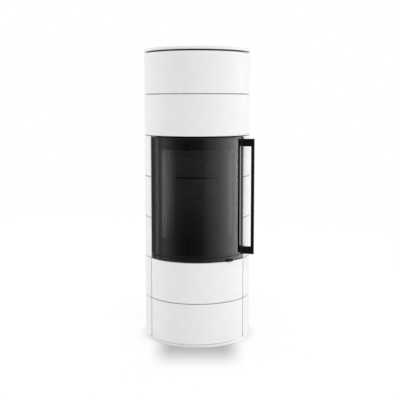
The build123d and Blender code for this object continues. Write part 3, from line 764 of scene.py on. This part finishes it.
@dataclass(frozen=True)
class PrintedGlass(Finish):
    """Glass ceramic, rolled and bent, with a black screen print fired round its edges.

    The print is a deep gloss black. Inside it the pane is clear with a faint green-grey tint, and both
    mirror the room with the same weak, grazing reflection.

    Attributes:
        print_black: colour of the print.
        speckle: the colour that it varies to.
        tint: colour of the light that the clear pane lets through.
        window_side_deg: angle of the window's side edges from the front.
        window_bottom_mm: height of the window's lower edge.
        window_top_mm: height of its upper edge.
        print_edge_mm: width over which the print's edge fades.
        wave_mm: length of the rolled glass's waves.
        wave_depth_mm: depth of the waves.
        polish: the glass's roughness.
        ior: its index of refraction.
    """

    slot: str = "printed_glass"
    title: str = "printed_glass_ceramic"
    print_black: str = "#030303"
    speckle: str = "#060607"
    tint: str = "#E4E6E6"
    window_side_deg: float = 48.0
    window_bottom_mm: float = 500.0
    window_top_mm: float = 904.0
    print_edge_mm: float = 1.0
    wave_mm: float = 35.0
    wave_depth_mm: float = 0.0015
    polish: float = 0.03
    ior: float = 1.5

    def outside_window(self, tree: Tree, place: Socket) -> Node:
        """Finds where the print lies.

        Args:
            tree: the material's node tree.
            place: object coordinates, in metres.

        Returns:
            A node that gives 1 on the print and 0 in the window.
        """
        axes = add_node(tree, "SeparateXYZ", links={"Vector": place})
        side = add_node(tree, "Math", {"operation": "ABSOLUTE"}, {0: turn_from_front(tree, axes)})
        middle = (self.window_bottom_mm + self.window_top_mm) / 2 * MM
        above = add_node(tree, "Math", {"operation": "SUBTRACT", 1: middle}, {0: axes.outputs["Z"]})
        rise = add_node(tree, "Math", {"operation": "ABSOLUTE"}, {0: above})
        limit = math.radians(self.window_side_deg)
        side_edge = {"From Min": limit - self.print_edge_mm / OUTER_RADIUS_MM, "From Max": limit}
        past_side = add_node(tree, "MapRange", side_edge, {"Value": side})
        half = (self.window_top_mm - self.window_bottom_mm) / 2 * MM
        end_edge = {"From Min": half - self.print_edge_mm * MM, "From Max": half}
        past_end = add_node(tree, "MapRange", end_edge, {"Value": rise})
        return add_node(tree, "Math", {"operation": "MAXIMUM"}, {0: past_side, 1: past_end})

    def shade(self, tree: Tree, place: Socket) -> Node:
        """Adds the pane's nodes.

        Args:
            tree: the material's node tree.
            place: object coordinates, in metres.

        Returns:
            The shader that the surface takes.
        """
        slow = {"Scale": 1 / (self.wave_mm * MM), "Detail": 1.0}
        waves = add_node(tree, "TexNoise", slow, {"Vector": place})
        relief = {"Strength": 1.0, "Distance": self.wave_depth_mm * MM}
        bump = add_node(tree, "Bump", relief, {"Height": waves})
        ink = {"Base Color": paint(tree, self.print_black, (self.speckle, waves)), "Normal": bump}
        print_coat = add_node(tree, "BsdfPrincipled", {"Roughness": self.polish, "IOR": self.ior}, ink)
        clear = add_node(tree, "BsdfTransparent", {"Color": linear(self.tint)})
        mirror = add_node(tree, "BsdfGlossy", {"Roughness": self.polish, "Color": WHITE}, {"Normal": bump})
        graze = add_node(tree, "Fresnel", {"IOR": self.ior}, {"Normal": bump})
        back = add_node(tree, "NewGeometry").outputs["Backfacing"]
        outward = add_node(tree, "Math", {"operation": "SUBTRACT", 0: 1.0}, {1: back})
        weight = add_node(tree, "Math", {"operation": "MULTIPLY"}, {0: graze, 1: outward})
        window = add_node(tree, "MixShader", links={0: weight, 1: clear, 2: mirror})
        printed = self.outside_window(tree, place)
        return add_node(tree, "MixShader", links={0: printed, 1: window, 2: print_coat})


GLAZE = SatinGlaze()
# Plinth ring: a clean white, shinier and more even than the tiles' glaze.
ENAMEL = CoatedSteel("white_enamel", "white_enamelled_steel", "#EFEFF0", "#EAEAEC", "#F2F2F2", Sheen.SILK)
# Door frame: a dry anthracite, nearly black.
FRAME_PAINT = CoatedSteel(
    "stove_anthracite", "heat_resistant_anthracite_paint", "#1D1E1F", "#191A1B", "#28282A", Sheen.MATT,
    gloss_level=0.15,
)
# Glass rails and door sill: a gloss black that mirrors the room dimly.
RAIL_ENAMEL = CoatedSteel(
    "stove_anthracite", "black_rail_enamel", "#171719", "#131315", "#212123", Sheen.GLOSS, gloss_level=0.42
)
# The air lever's tab: a flat black without highlights.
LEVER_BLACK = CoatedSteel(
    "black_handle", "matt_black_lever_cap", "#070707", "#050505", "#0B0B0B", Sheen.MATT, gloss_level=0.2
)
# The frame that the door closes on: a dull silver grey with a weak metal gleam.
COLLAR_PAINT = CoatedSteel(
    "silver_paint", "heat_resistant_silver_paint", "#6E6F6E", "#686968", "#777877", Sheen.SATIN,
    metallic=0.4,
)
# Handle: a satin black with soft, broad highlights.
BLACK_HANDLE = CoatedSteel(
    "black_handle", "black_powder_coat", "#121213", "#0F0F10", "#19191A", Sheen.SATIN,
    peel_mm=1.4, gloss_level=0.2,
)
# Sheet steel behind the tiles and round the fire: a dry dark grey.
BODY_PAINT = CoatedSteel("body_steel", "black_stove_paint", "#37383A", "#303133", "#424346", Sheen.MATT)
# Rear panel: an even graphite grey with a satin sheen.
PANEL_PAINT = CoatedSteel("panel_steel", "graphite_powder_coat", "#67686A", "#616265", "#77787B", Sheen.SATIN)
# Clips at the foot of the upright joints: a blue-black, smoother than paint.
CLIP_BLACK = CoatedSteel(
    "clip_steel", "blackened_spring_steel", "#343436", "#2C2C2E", "#454549", Sheen.SATIN, peel_mm=1.0
)
# Screws, feet, pins, latch and air valve: a pale grey metal with fine drawn lines.
ZINC = PlatedSteel("zinc_steel", "bright_zinc_plate")
# Ash pan: pale grey crystals, each a little lighter or darker than the next.
DIPPED = PlatedSteel("ash_pan_steel", "hot_dipped_sheet", Plating.HOT_DIPPED, "#AFB2B4", "#8F9295")
# Boards behind, beside and above the fire: charcoal, darker towards the fire bed.
BOARD = PressedBoard("vermiculite", "pressed_vermiculite_board")
# Board at the left: the same board in a lighter grey, as painted light for the light that reaches it through
# the door's glass.
PAINTED_LIT_BOARD = PressedBoard(
    "vermiculite", "pressed_vermiculite_board_painted_lit", "#949493", "#7C7C7B", "#A09F9B", "#4A4A4A"
)
# Hearth: sandy, buff grit.
BRICK = CastMineral("firebrick", "chamotte_brick")
# Grate and log retainer: a coarse dark grey with a faint metal gleam.
IRON = CastMineral(
    "cast_iron", "sand_cast_iron", "#454443", "#2E2E2E",
    grit_mm=1.8, pit_depth_mm=0.2, roughness=0.6, metallic=0.6,
)
# Storage rings: pale grey grit, coarser than the bricks'.
STONE = CastMineral(
    "storage_stone", "cast_storage_stone", "#9C9A96", "#7F7D7A",
    grit_mm=3.0, pit_depth_mm=0.2, roughness=0.8,
)
# Door rope: dark grey yarn.
ROPE = WovenFibre("rope_fibre", "braided_glass_fibre", "#504F4E", "#262626")
# Tape between pane and frame: a mid grey weave.
TAPE = WovenFibre("rope_fibre", "woven_glass_tape", "#8A8987", "#5A5A59", thread_mm=0.9)
# Pads under the tiles: a soft off-white.
FELT = WovenFibre("fibre_pad", "ceramic_fibre_felt", "#C4C3BD", "#A3A29C", thread_mm=2.0)
GLASS = PrintedGlass()


# --------------------------------------------------------------- sub-assemblies


@dataclass
class TiledMantle:
    """The glazed tile courses with the top plate, plinth, clips, pads and posts.

    Attributes:
        door_courses: courses that stop at the door; the others run across the front too.
    """

    door_courses: Sequence[int] = (3, 4, 5)

    def tiles(self) -> list[str]:
        """Lists the tile nodes.

        Returns:
            The names, course by course.
        """
        names = []
        for course in range(1, COURSES + 1):
            sides = ["left", "right"]
            if course not in self.door_courses:
                sides.append("front")
            names += [f"tile_course_{course}_{side}" for side in sides]
        return names

    def dress(self) -> None:
        """Gives the mantle its finishes."""
        GLAZE.dress(*self.tiles(), "top_plate")
        ENAMEL.dress("plinth_ring")
        CLIP_BLACK.dress("joint_clips")
        FELT.dress("joint_pads")
        BODY_PAINT.dress("tile_posts", "top_plate_spacers")
        LOG.info("tiled mantle: %d tiles, top plate and plinth dressed", len(self.tiles()))


@dataclass
class SteelBody:
    """The steel shell behind the tiles, with its rear panel and the screws that hold it.

    Attributes:
        screw_angle_deg: angle of a screw column from the front.
        screw_levels: screws in a column.
        head_radius_mm: radius of a screw's head.
        head_face_mm: distance of the head's underside from the stove's axis.
        head_outline: the button head from its seat to the flat round the socket, as (share of its radius,
            height in millimetres).
        socket_mm: distance across the flats of the hexagon socket.
        socket_depth_mm: depth of the socket.
        socket_edge_mm: how far the socket's edge is turned down.
        sides: sides of a head.
        crease_deg: a head's edges that turn by more than this stay sharp.
    """

    screw_angle_deg: float = 138.0
    screw_levels: int = 4
    head_radius_mm: float = 5.0
    head_face_mm: float = 248.1
    head_outline: Sequence[tuple[float, float]] = (
        (0.98, 0.0),
        (1.0, 0.15),
        (1.0, 0.45),
        (0.92, 1.05),
        (0.74, 1.55),
        (0.50, 1.80),
    )
    socket_mm: float = 3.2
    socket_depth_mm: float = 1.3
    socket_edge_mm: float = 0.1
    sides: int = 24
    crease_deg: float = 32.0

    def add_head(self, shape: Shape, degrees: float, height: float) -> None:
        """Adds one button head with a hexagon socket.

        Args:
            shape: the bmesh that the head goes into.
            degrees: its angle from the front.
            height: its height above the floor, in metres.
        """
        turns = [2 * math.pi * step / self.sides for step in range(self.sides)]
        rings = []
        for share, height_mm in self.head_outline:
            reach = self.head_radius_mm * share
            rings.append([(reach * math.cos(turn), reach * math.sin(turn), height_mm) for turn in turns])
        flat_mm = self.head_outline[-1][1]
        sixth = math.pi / 3
        for sunk in (self.socket_edge_mm, self.socket_depth_mm):
            ring = []
            for turn in turns:
                reach = self.socket_mm / 2 / math.cos((turn + sixth / 2) % sixth - sixth / 2)
                ring.append((reach * math.cos(turn), reach * math.sin(turn), flat_mm - sunk))
            rings.append(ring)
        seat = on_circle(self.head_face_mm * MM, degrees, height)
        outward = on_circle(1.0, degrees, 0.0)
        across = UP.cross(outward)
        loops = []
        for ring in rings:
            places = [seat + (across * x + UP * y + outward * z) * MM for x, y, z in ring]
            loops.append([shape.verts.new(place) for place in places])
        join_loops(shape, loops)
        shape.faces.new(list(reversed(loops[0])))
        shape.faces.new(loops[-1])

    def build_screws(self) -> bpy.types.Object:
        """Builds the rear panel's screw heads in place of the plain CAD ones.

        Returns:
            The screws, as one piece.
        """
        casing_mm = COURSES * COURSE_PITCH_MM - TILE_JOINT_MM

        def heads(shape: Shape) -> None:
            """Adds every head.

            Args:
                shape: the bmesh that the heads go into.
            """
            for level in range(self.screw_levels):
                height = (FIRST_COURSE_MM + casing_mm * (level + 0.5) / self.screw_levels) * MM
                for side in (1, -1):
                    self.add_head(shape, side * self.screw_angle_deg, height)

        screws = mesh_object("panel_screw_heads", heads, ZINC.material())
        crease = screws.modifiers.new("crease", "EDGE_SPLIT")
        crease.split_angle = math.radians(self.crease_deg)
        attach(screws, "root")
        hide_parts("panel_screws")
        return screws

    def dress(self) -> None:
        """Gives the body its finishes."""
        BODY_PAINT.dress("body_shell", "body_lid", "base_plate")
        ZINC.dress("levelling_feet", "panel_screws")
        PANEL_PAINT.dress("rear_panel")
        LOG.info("steel body: shell, lid, base plate, feet and rear panel dressed")


@dataclass
class FireboxLining:
    """The boards, bricks and castings round the fire, and the ash pan below it.

    Attributes:
        plain_boards: boards in the plain board finish.
        painted_lit_board: the board painted lighter, as painted light from the door's glass.
    """

    plain_boards: Sequence[str] = ("side_board_right", "rear_board_lower", "rear_board_upper", "baffle_plate")
    painted_lit_board: str = "side_board_left"

    def dress(self) -> None:
        """Gives the lining its finishes."""
        BOARD.dress(*self.plain_boards)
        # the left board is painted lighter, as painted light
        PAINTED_LIT_BOARD.dress(self.painted_lit_board)
        BRICK.dress("floor_bricks")
        IRON.dress("fire_grate", "log_retainer")
        BODY_PAINT.dress("firebox_floor", "firebox_ceiling", "ash_recess")
        DIPPED.dress("ash_pan")
        boards = [*self.plain_boards, self.painted_lit_board]
        LOG.info("firebox lining: %d boards, bricks, castings and ash pan dressed", len(boards))


@dataclass
class FlueAndStorage:
    """The flue collar, the storage rings round it, and the air's way in."""

    def dress(self) -> None:
        """Gives the flue, storage and air pieces their finishes."""
        BODY_PAINT.dress("flue_collar", "air_duct")
        STONE.dress("storage_rings")
        ZINC.dress("air_inlet_spigot", "air_valve_ring")
        LEVER_BLACK.dress("lever_knob")
        LOG.info("flue, storage rings and air inlet dressed")


@dataclass
class DoorLeaf:
    """The curved door: frame, rails, printed pane, seals and hinge.

    Attributes:
        rope_radius_mm: distance of the rope's middle from the stove's axis.
        rope_side_deg: angle of the rope's outer edge from the front.
        rope_bottom_mm: height of the rope's lower edge.
        rope_top_mm: height of the rope's upper edge.
        rope_wide_mm: the flat rope's width.
        rope_thick_mm: the flat rope's thickness.
        corner_mm: radius of the rope's middle line at a corner.
        strands: strands in the braid, half of them turning each way.
        strand_mm: a strand's thickness.
        lay_mm: length in which a strand goes round once.
        steps_per_lay: points of a strand in that length.
        dip: share of the rope's half thickness by which a strand rises and dips at a crossing.
        core_share: the core's width and thickness, as shares of the braid's.
        core_sides: sides of the core's section.
        core_every: points of a strand between two sections of the core.
    """

    rope_radius_mm: float = 223.85
    rope_side_deg: float = 52.01
    rope_bottom_mm: float = 421.0
    rope_top_mm: float = 945.0
    rope_wide_mm: float = 10.0
    rope_thick_mm: float = 4.1
    corner_mm: float = 7.0
    strands: int = 8
    strand_mm: float = 1.7
    lay_mm: float = 19.0
    steps_per_lay: int = 10
    dip: float = 0.14
    core_share: tuple[float, float] = (0.96, 0.8)
    core_sides: int = 10
    core_every: int = 4

    def rope_outline(self) -> tuple[float, float, float]:
        """Measures the rope's middle line, unrolled flat.

        Returns:
            Half its width and its lowest and highest point, in metres.
        """
        inset = self.rope_wide_mm / 2
        half = self.rope_radius_mm * MM * math.radians(self.rope_side_deg) - inset * MM
        return half, (self.rope_bottom_mm + inset) * MM, (self.rope_top_mm - inset) * MM

    def rope_runs(self) -> tuple[list[float], float]:
        """Measures the rope's straight runs and corners.

        Returns:
            The four straight runs in order, and the length of a corner, in metres.
        """
        half, low, high = self.rope_outline()
        corner = self.corner_mm * MM
        return [2 * half - 2 * corner, high - low - 2 * corner] * 2, math.pi / 2 * corner

    def rope_length(self) -> float:
        """Adds up the length of the rope's middle line, in metres."""
        straight, quarter = self.rope_runs()
        return sum(straight) + 4 * quarter

    def rope_line(self, steps: int) -> list[tuple[Vector, Vector, Vector]]:
        """Follows the rope's middle line round the door, unrolled flat and then bent to the cylinder.

        Args:
            steps: points along the line.

        Returns:
            For each point its place, the direction across the rope, and the direction away from the axis.
        """
        half, low, high = self.rope_outline()
        straight, quarter = self.rope_runs()
        radius = self.rope_radius_mm * MM
        corner = self.corner_mm * MM
        centres = [
            (half - corner, low + corner),
            (half - corner, high - corner),
            (-half + corner, high - corner),
            (-half + corner, low + corner),
        ]
        whole = self.rope_length()
        line = []
        for step in range(steps):
            travel = whole * step / steps
            leg = 0
            while travel > straight[leg] + quarter:
                travel -= straight[leg] + quarter
                leg += 1
            heading = leg * math.pi / 2 + max(travel - straight[leg], 0.0) / corner
            back = max(straight[leg] - travel, 0.0)
            flat_x = centres[leg][0] + corner * math.sin(heading) - back * math.cos(heading)
            flat_z = centres[leg][1] - corner * math.cos(heading) - back * math.sin(heading)
            degrees = math.degrees(flat_x / radius)
            across = on_circle(1.0, degrees + 90, 0.0) * math.sin(heading) - UP * math.cos(heading)
            line.append((on_circle(radius, degrees, flat_z), across, on_circle(1.0, degrees, 0.0)))
        return line

    def build_rope(self) -> bpy.types.Object:
        """Braids the door rope over a soft core, in place of the plain CAD strip.

        Returns:
            The braid; the core is a piece of its own.
        """
        steps = round(self.rope_length() / (self.lay_mm * MM)) * self.steps_per_lay
        line = self.rope_line(steps)
        wide = (self.rope_wide_mm - self.strand_mm) / 2 * MM
        thick = (self.rope_thick_mm - self.strand_mm) / 2 * MM
        braid = bpy.data.curves.new("door_rope_braid", "CURVE")
        braid.dimensions = "3D"
        braid.bevel_depth = self.strand_mm / 2 * MM
        braid.bevel_resolution = 1
        half_count = self.strands // 2
        for strand in range(self.strands):
            way = 1 if strand < half_count else -1
            start = 2 * math.pi * (strand % half_count) / half_count
            spline = braid.splines.new("POLY")
            spline.points.add(steps - 1)
            spline.use_cyclic_u = True
            for step, (place, across, outward) in enumerate(line):
                turn = start + way * 2 * math.pi * step / self.steps_per_lay
                over = 1 - self.dip + self.dip * way * math.cos(half_count * turn)
                offset = across * wide * math.cos(turn) + outward * thick * math.sin(turn) * over
                spline.points[step].co = (*(place + offset), 1.0)
        rope = link_object("door_rope_braid", braid)
        braid.materials.append(ROPE.material())

        def core(shape: Shape) -> None:
            """Fills the braid with its soft core.

            Args:
                shape: the bmesh that the core goes into.
            """
            core_wide, core_thick = self.core_share
            turns = [2 * math.pi * corner / self.core_sides for corner in range(self.core_sides)]
            loops = []
            for place, across, outward in line[:: self.core_every]:
                loop = []
                for turn in turns:
                    offset = across * wide * core_wide * math.cos(turn)
                    offset += outward * thick * core_thick * math.sin(turn)
                    loop.append(shape.verts.new(place + offset))
                loops.append(loop)
            join_loops(shape, [*loops, loops[0]])

        filling = mesh_object("door_rope_core", core, ROPE.material())
        for piece in (rope, filling):
            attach(piece, "door")
        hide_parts("door_rope")
        return rope

    def dress(self) -> None:
        """Gives the door its finishes."""
        FRAME_PAINT.dress("door_frame")
        RAIL_ENAMEL.dress("glass_rails", "door_sill")
        COLLAR_PAINT.dress("door_surround")
        GLASS.dress("door_glass")
        ROPE.dress("door_rope")
        TAPE.dress("glass_tape")
        ZINC.dress("hinge_pins", "latch_catches", "latch_rod")
        BLACK_HANDLE.dress("handle_loop")
        LOG.info("door: frame, pane, rails, seals, hinge and handle dressed")


# ---------------------------------------------------------------------- studio


@dataclass(frozen=True)
class Softbox:
    """One softbox.

    Attributes:
        name: the lamp's name.
        place: where it hangs, in metres.
        aim: the point that it faces.
        size: its width and height, in metres.
        power: its power, in watts.
    """

    name: str
    place: tuple[float, float, float]
    aim: tuple[float, float, float]
    size: tuple[float, float]
    power: float

    def hang(self) -> bpy.types.Object:
        """Hangs the softbox.

        Returns:
            The lamp.
        """
        data = bpy.data.lights.new(self.name, "AREA")
        data.shape = "RECTANGLE"
        data.size, data.size_y = self.size
        data.energy = self.power
        lamp = link_object(self.name, data)
        lamp.visible_glossy = False
        lamp.location = self.place
        lamp.rotation_euler = (Vector(self.aim) - Vector(self.place)).to_track_quat("-Z", "Y").to_euler()
        return lamp


@dataclass
class Studio:
    """A plain pale floor, soft studio light and the camera at the photograph's viewing angle.

    The floor keeps the stove's own soft shadow, and a painted shadow lies over it: a cast shadow in
    front of the stove and a contact shadow round its foot.

    Attributes:
        softboxes: the lamps.
        fill: strength of the even light from the walls all round.
        ceiling: strength of the light from above.
        ceiling_range: sine of the elevation at which the walls end, and at which the ceiling starts.
        sides: sides of the round floor and walls.
        floor_radius_m: radius of the floor.
        paper: the two tones of the floor's grain.
        bounce: the floor's colour as the stove sees it.
        grain_mm: width of the paper's grain, drawn coarser than the real one, so that it shows.
        paper_glow: light that brings the paper to plain white for the camera.
        cast_forward_mm: how far in front of the axis the middle of the cast shadow lies.
        cast_across_mm: half its width where it is full, and where it is gone.
        cast_along_mm: the same from front to back.
        cast_depth: how much light it takes.
        contact_gone_mm: radius at which the contact shadow is gone.
        contact_depth: how much light it takes at the stove's foot.
        wall_radius_m: radius of the walls that the gloss sees.
        wall_heights_m: heights of the walls' foot, middle and top.
        wall_fade_m: heights between which the walls brighten, going up.
        wall_foot: brightness of the walls' foot, as a share of the brightness above.
        walls: the walls' brightness, as (azimuth from the front in degrees, brightness): a dark room in
            front, a lit wall on the left, a large window on the right.
        brightest: the brightness that the walls' scale ends at.
        camera_place: the camera's place, in metres.
        camera_dip_deg: how far it looks down.
        camera_shift: its lens shift, as a share of the picture's width.
        lens_mm: its focal length.
        sensor_mm: the width of its sensor.
        camera_reach_m: how far it sees.
    """

    softboxes: Sequence[Softbox] = (
        Softbox("right_softbox", (2.9, -1.4, 0.75), (0.0, 0.0, 0.45), (1.4, 1.6), 17.6),
        Softbox("left_softbox", (-3.2, 1.0, 1.0), (0.0, 0.0, 0.5), (1.4, 2.0), 19.0),
    )
    fill: float = 0.72
    ceiling: float = 1.18
    ceiling_range: tuple[float, float] = (0.55, 0.80)
    sides: int = 96
    floor_radius_m: float = 9.0
    paper: tuple[str, str] = ("#B4B4B4", "#B8B8B8")
    bounce: str = "#F6F6F6"
    grain_mm: float = 3.0
    paper_glow: float = 0.54
    cast_forward_mm: float = 170.0
    cast_across_mm: tuple[float, float] = (110.0, 230.0)
    cast_along_mm: tuple[float, float] = (60.0, 370.0)
    cast_depth: float = 0.49
    contact_gone_mm: float = 292.0
    contact_depth: float = 0.10
    wall_radius_m: float = 3.4
    wall_heights_m: tuple[float, float, float] = (-3.0, 0.6, 4.2)
    wall_fade_m: tuple[float, float] = (-0.44, 0.60)
    wall_foot: float = 0.80
    walls: Sequence[tuple[float, float]] = (
        (-180, 0.75),
        (-135, 0.95),
        (-120, 1.45),
        (-109.5, 0.42),
        (-103.5, 0.45),
        (-97.5, 1.20),
        (-93.5, 1.15),
        (-88.5, 0.50),
        (-76, 0.95),
        (-45, 0.23),
        (-22, 0.09),
        (10, 0.19),
        (45, 1.15),
        (75, 2.70),
        (98, 4.10),
        (102, 3.60),
        (107, 5.80),
        (111, 4.40),
        (118, 2.00),
        (140, 1.10),
        (180, 0.75),
    )
    brightest: float = 6.0
    camera_place: tuple[float, float, float] = (0.013, -3.543, 1.109)
    camera_dip_deg: float = 5.84
    camera_shift: float = -0.05
    lens_mm: float = 66.7
    sensor_mm: float = 36.0
    camera_reach_m: float = 60.0

    def painted_floor_shadow(self, tree: Tree, place: Socket) -> Node:
        """Adds the stove's painted shadow on the floor.

        Args:
            tree: the floor's node tree.
            place: object coordinates, in metres.

        Returns:
            A node that gives how much light the shadow takes.
        """
        axes = add_node(tree, "SeparateXYZ", links={"Vector": place})
        ahead = {"operation": "ADD", 1: self.cast_forward_mm * MM}
        forward = add_node(tree, "Math", ahead, {0: axes.outputs["Y"]})
        shares = []
        for way, (full, gone) in ((axes.outputs["X"], self.cast_across_mm), (forward, self.cast_along_mm)):
            away = add_node(tree, "Math", {"operation": "ABSOLUTE"}, {0: way})
            fade = {"interpolation_type": "SMOOTHSTEP", "From Min": gone * MM, "From Max": full * MM}
            shares.append(add_node(tree, "MapRange", fade, {"Value": away}))
        shares[0].inputs["To Max"].default_value = self.cast_depth
        cast = add_node(tree, "Math", {"operation": "MULTIPLY"}, {0: shares[0], 1: shares[1]})
        reach = add_node(tree, "VectorMath", {"operation": "LENGTH"}, {0: place})
        foot = {
            "interpolation_type": "SMOOTHSTEP",
            "From Min": self.contact_gone_mm * MM,
            "From Max": OUTER_RADIUS_MM * MM,
            "To Max": self.contact_depth,
        }
        contact = add_node(tree, "MapRange", foot, {"Value": reach})
        return add_node(tree, "Math", {"operation": "MAXIMUM"}, {0: cast, 1: contact})

    def floor_paper(self) -> bpy.types.Material:
        """Makes the floor's paper: plain white to the camera, apart from the stove's real and painted shadow.

        Returns:
            The material.
        """
        paper = bpy.data.materials.new("white_studio_paper")
        tree = clear_tree(paper)
        place = add_node(tree, "TexCoord").outputs["Object"]
        lit = {"operation": "SUBTRACT", 0: self.paper_glow}
        glow = add_node(tree, "Math", lit, {1: self.painted_floor_shadow(tree, place)})
        fine = {"Scale": 1 / (self.grain_mm * MM), "Detail": 2.0}
        grain = add_node(tree, "TexNoise", fine, {"Vector": place})
        darker, lighter = self.paper
        colour = paint(tree, darker, (lighter, grain))
        by_camera = add_node(tree, "LightPath").outputs["Is Camera Ray"]
        by_stove = {"data_type": "RGBA", UNDER: linear(self.bounce)}
        bounce = add_node(tree, "Mix", by_stove, {0: by_camera, OVER: colour})
        matt = add_node(tree, "BsdfDiffuse", links={"Color": bounce})
        seen = add_node(tree, "Math", {"operation": "MULTIPLY"}, {0: glow, 1: by_camera})
        light = add_node(tree, "Emission", {"Color": WHITE}, {"Strength": seen})
        both = add_node(tree, "AddShader", links={0: matt, 1: light})
        add_node(tree, "OutputMaterial", links={"Surface": both})
        return paper

    def build_floor(self) -> bpy.types.Object:
        """Lays the floor.

        Returns:
            The floor.
        """

        def disc(shape: Shape) -> None:
            """Adds a round sheet at floor level."""
            rim = circle(self.floor_radius_m, 0.0, self.sides)
            shape.faces.new([shape.verts.new(place) for place in rim])

        floor = mesh_object("studio_floor", disc, self.floor_paper(), smooth=False)
        floor.visible_glossy = False
        return floor

    def wall_light(self) -> bpy.types.Material:
        """Makes the walls' light, which changes all the way round the stove.

        Returns:
            The material.
        """
        cloth = bpy.data.materials.new("studio_wall_light")
        tree = clear_tree(cloth)
        place = add_node(tree, "TexCoord").outputs["Object"]
        axes = add_node(tree, "SeparateXYZ", links={"Vector": place})
        whole_turn = {"From Min": -math.pi, "From Max": math.pi}
        share = add_node(tree, "MapRange", whole_turn, {"Value": turn_from_front(tree, axes)})
        ramp = add_node(tree, "ValToRGB", links={"Fac": share})
        stops = ramp.color_ramp.elements
        while len(stops) < len(self.walls):
            stops.new(0.5)
        for stop, (azimuth, level) in zip(stops, self.walls):
            stop.position = (azimuth + 180) / 360
            shade = level / self.brightest
            stop.color = (shade, shade, shade, 1.0)
        fade_from, fade_to = self.wall_fade_m
        heights = {"From Min": fade_from, "From Max": fade_to}
        strengths = {"To Min": self.wall_foot * self.brightest, "To Max": self.brightest}
        strength = add_node(tree, "MapRange", {**heights, **strengths}, {"Value": axes.outputs["Z"]})
        light = add_node(tree, "Emission", links={"Color": ramp, "Strength": strength})
        add_node(tree, "OutputMaterial", links={"Surface": light})
        return cloth

    def build_walls(self) -> bpy.types.Object:
        """Puts up the walls that only the gloss sees, so that the black pane has a room to mirror.

        Returns:
            The walls.
        """

        def drum(shape: Shape) -> None:
            """Adds an upright drum round the stove.

            Args:
                shape: the bmesh that the drum goes into.
            """
            rows = []
            for height in self.wall_heights_m:
                row = circle(self.wall_radius_m, height, self.sides)
                rows.append([shape.verts.new(place) for place in row])
            join_loops(shape, rows)

        walls = mesh_object("studio_walls", drum, self.wall_light())
        walls.visible_camera = False
        walls.visible_diffuse = False
        walls.visible_transmission = False
        walls.visible_volume_scatter = False
        walls.visible_shadow = False
        return walls

    def build_world(self) -> None:
        """Lights the scene evenly and shows plain white behind it."""
        world = bpy.data.worlds.new("studio_world")
        bpy.context.scene.world = world
        tree = clear_tree(world)
        ray = add_node(tree, "LightPath").outputs
        not_straight = {0: ray["Is Glossy Ray"], 1: ray["Is Transmission Ray"]}
        mirrored = add_node(tree, "Math", {"operation": "MAXIMUM"}, not_straight)
        seen = add_node(tree, "Math", {"operation": "MAXIMUM"}, {0: ray["Is Camera Ray"], 1: mirrored})
        towards = add_node(tree, "TexCoord").outputs["Generated"]
        axes = add_node(tree, "SeparateXYZ", links={"Vector": towards})
        height = add_node(tree, "Math", {"operation": "ABSOLUTE"}, {0: axes.outputs["Z"]})
        walls_end, ceiling_starts = self.ceiling_range
        heights = {"From Min": walls_end, "From Max": ceiling_starts}
        strengths = {"To Min": self.fill, "To Max": self.ceiling}
        light = add_node(tree, "MapRange", {**heights, **strengths}, {"Value": height})
        strength = add_node(tree, "MapRange", {"To Max": 1.0}, {"Value": seen, "To Min": light})
        sky = add_node(tree, "Background", {"Color": WHITE}, {"Strength": strength})
        add_node(tree, "OutputWorld", links={"Surface": sky})

    def place_camera(self) -> bpy.types.Object:
        """Sets up the camera: above the stove's middle, looking slightly down on it.

        Returns:
            The camera.
        """
        data = bpy.data.cameras.new("photo_camera")
        data.sensor_width = self.sensor_mm
        data.lens = self.lens_mm
        data.shift_y = self.camera_shift
        data.clip_end = self.camera_reach_m
        camera = link_object("photo_camera", data)
        camera.location = self.camera_place
        camera.rotation_euler = (math.radians(90 - self.camera_dip_deg), 0.0, 0.0)
        bpy.context.scene.camera = camera
        return camera

    def build(self) -> None:
        """Sets up the whole studio."""
        self.build_floor()
        self.build_walls()
        self.build_world()
        for softbox in self.softboxes:
            softbox.hang()
        self.place_camera()
        bpy.context.scene.view_settings.view_transform = "Standard"
        LOG.info("studio: floor, walls for the gloss, %d softboxes and the camera", len(self.softboxes))


def main() -> None:
    """Builds and dresses the stove piece by piece, and then the studio round it."""
    logging.basicConfig(level=logging.INFO, format="%(name)s: %(message)s")
    TiledMantle().dress()
    body = SteelBody()
    body.dress()
    screws = body.build_screws()
    LOG.info("rear panel screws: %d vertices", len(screws.data.vertices))
    FireboxLining().dress()
    FlueAndStorage().dress()
    door = DoorLeaf()
    door.dress()
    rope = door.build_rope()
    LOG.info("door rope: %d strands, %.2f m round", len(rope.data.splines), door.rope_length())
    Studio().build()


if __name__ == "__main__":
    main()
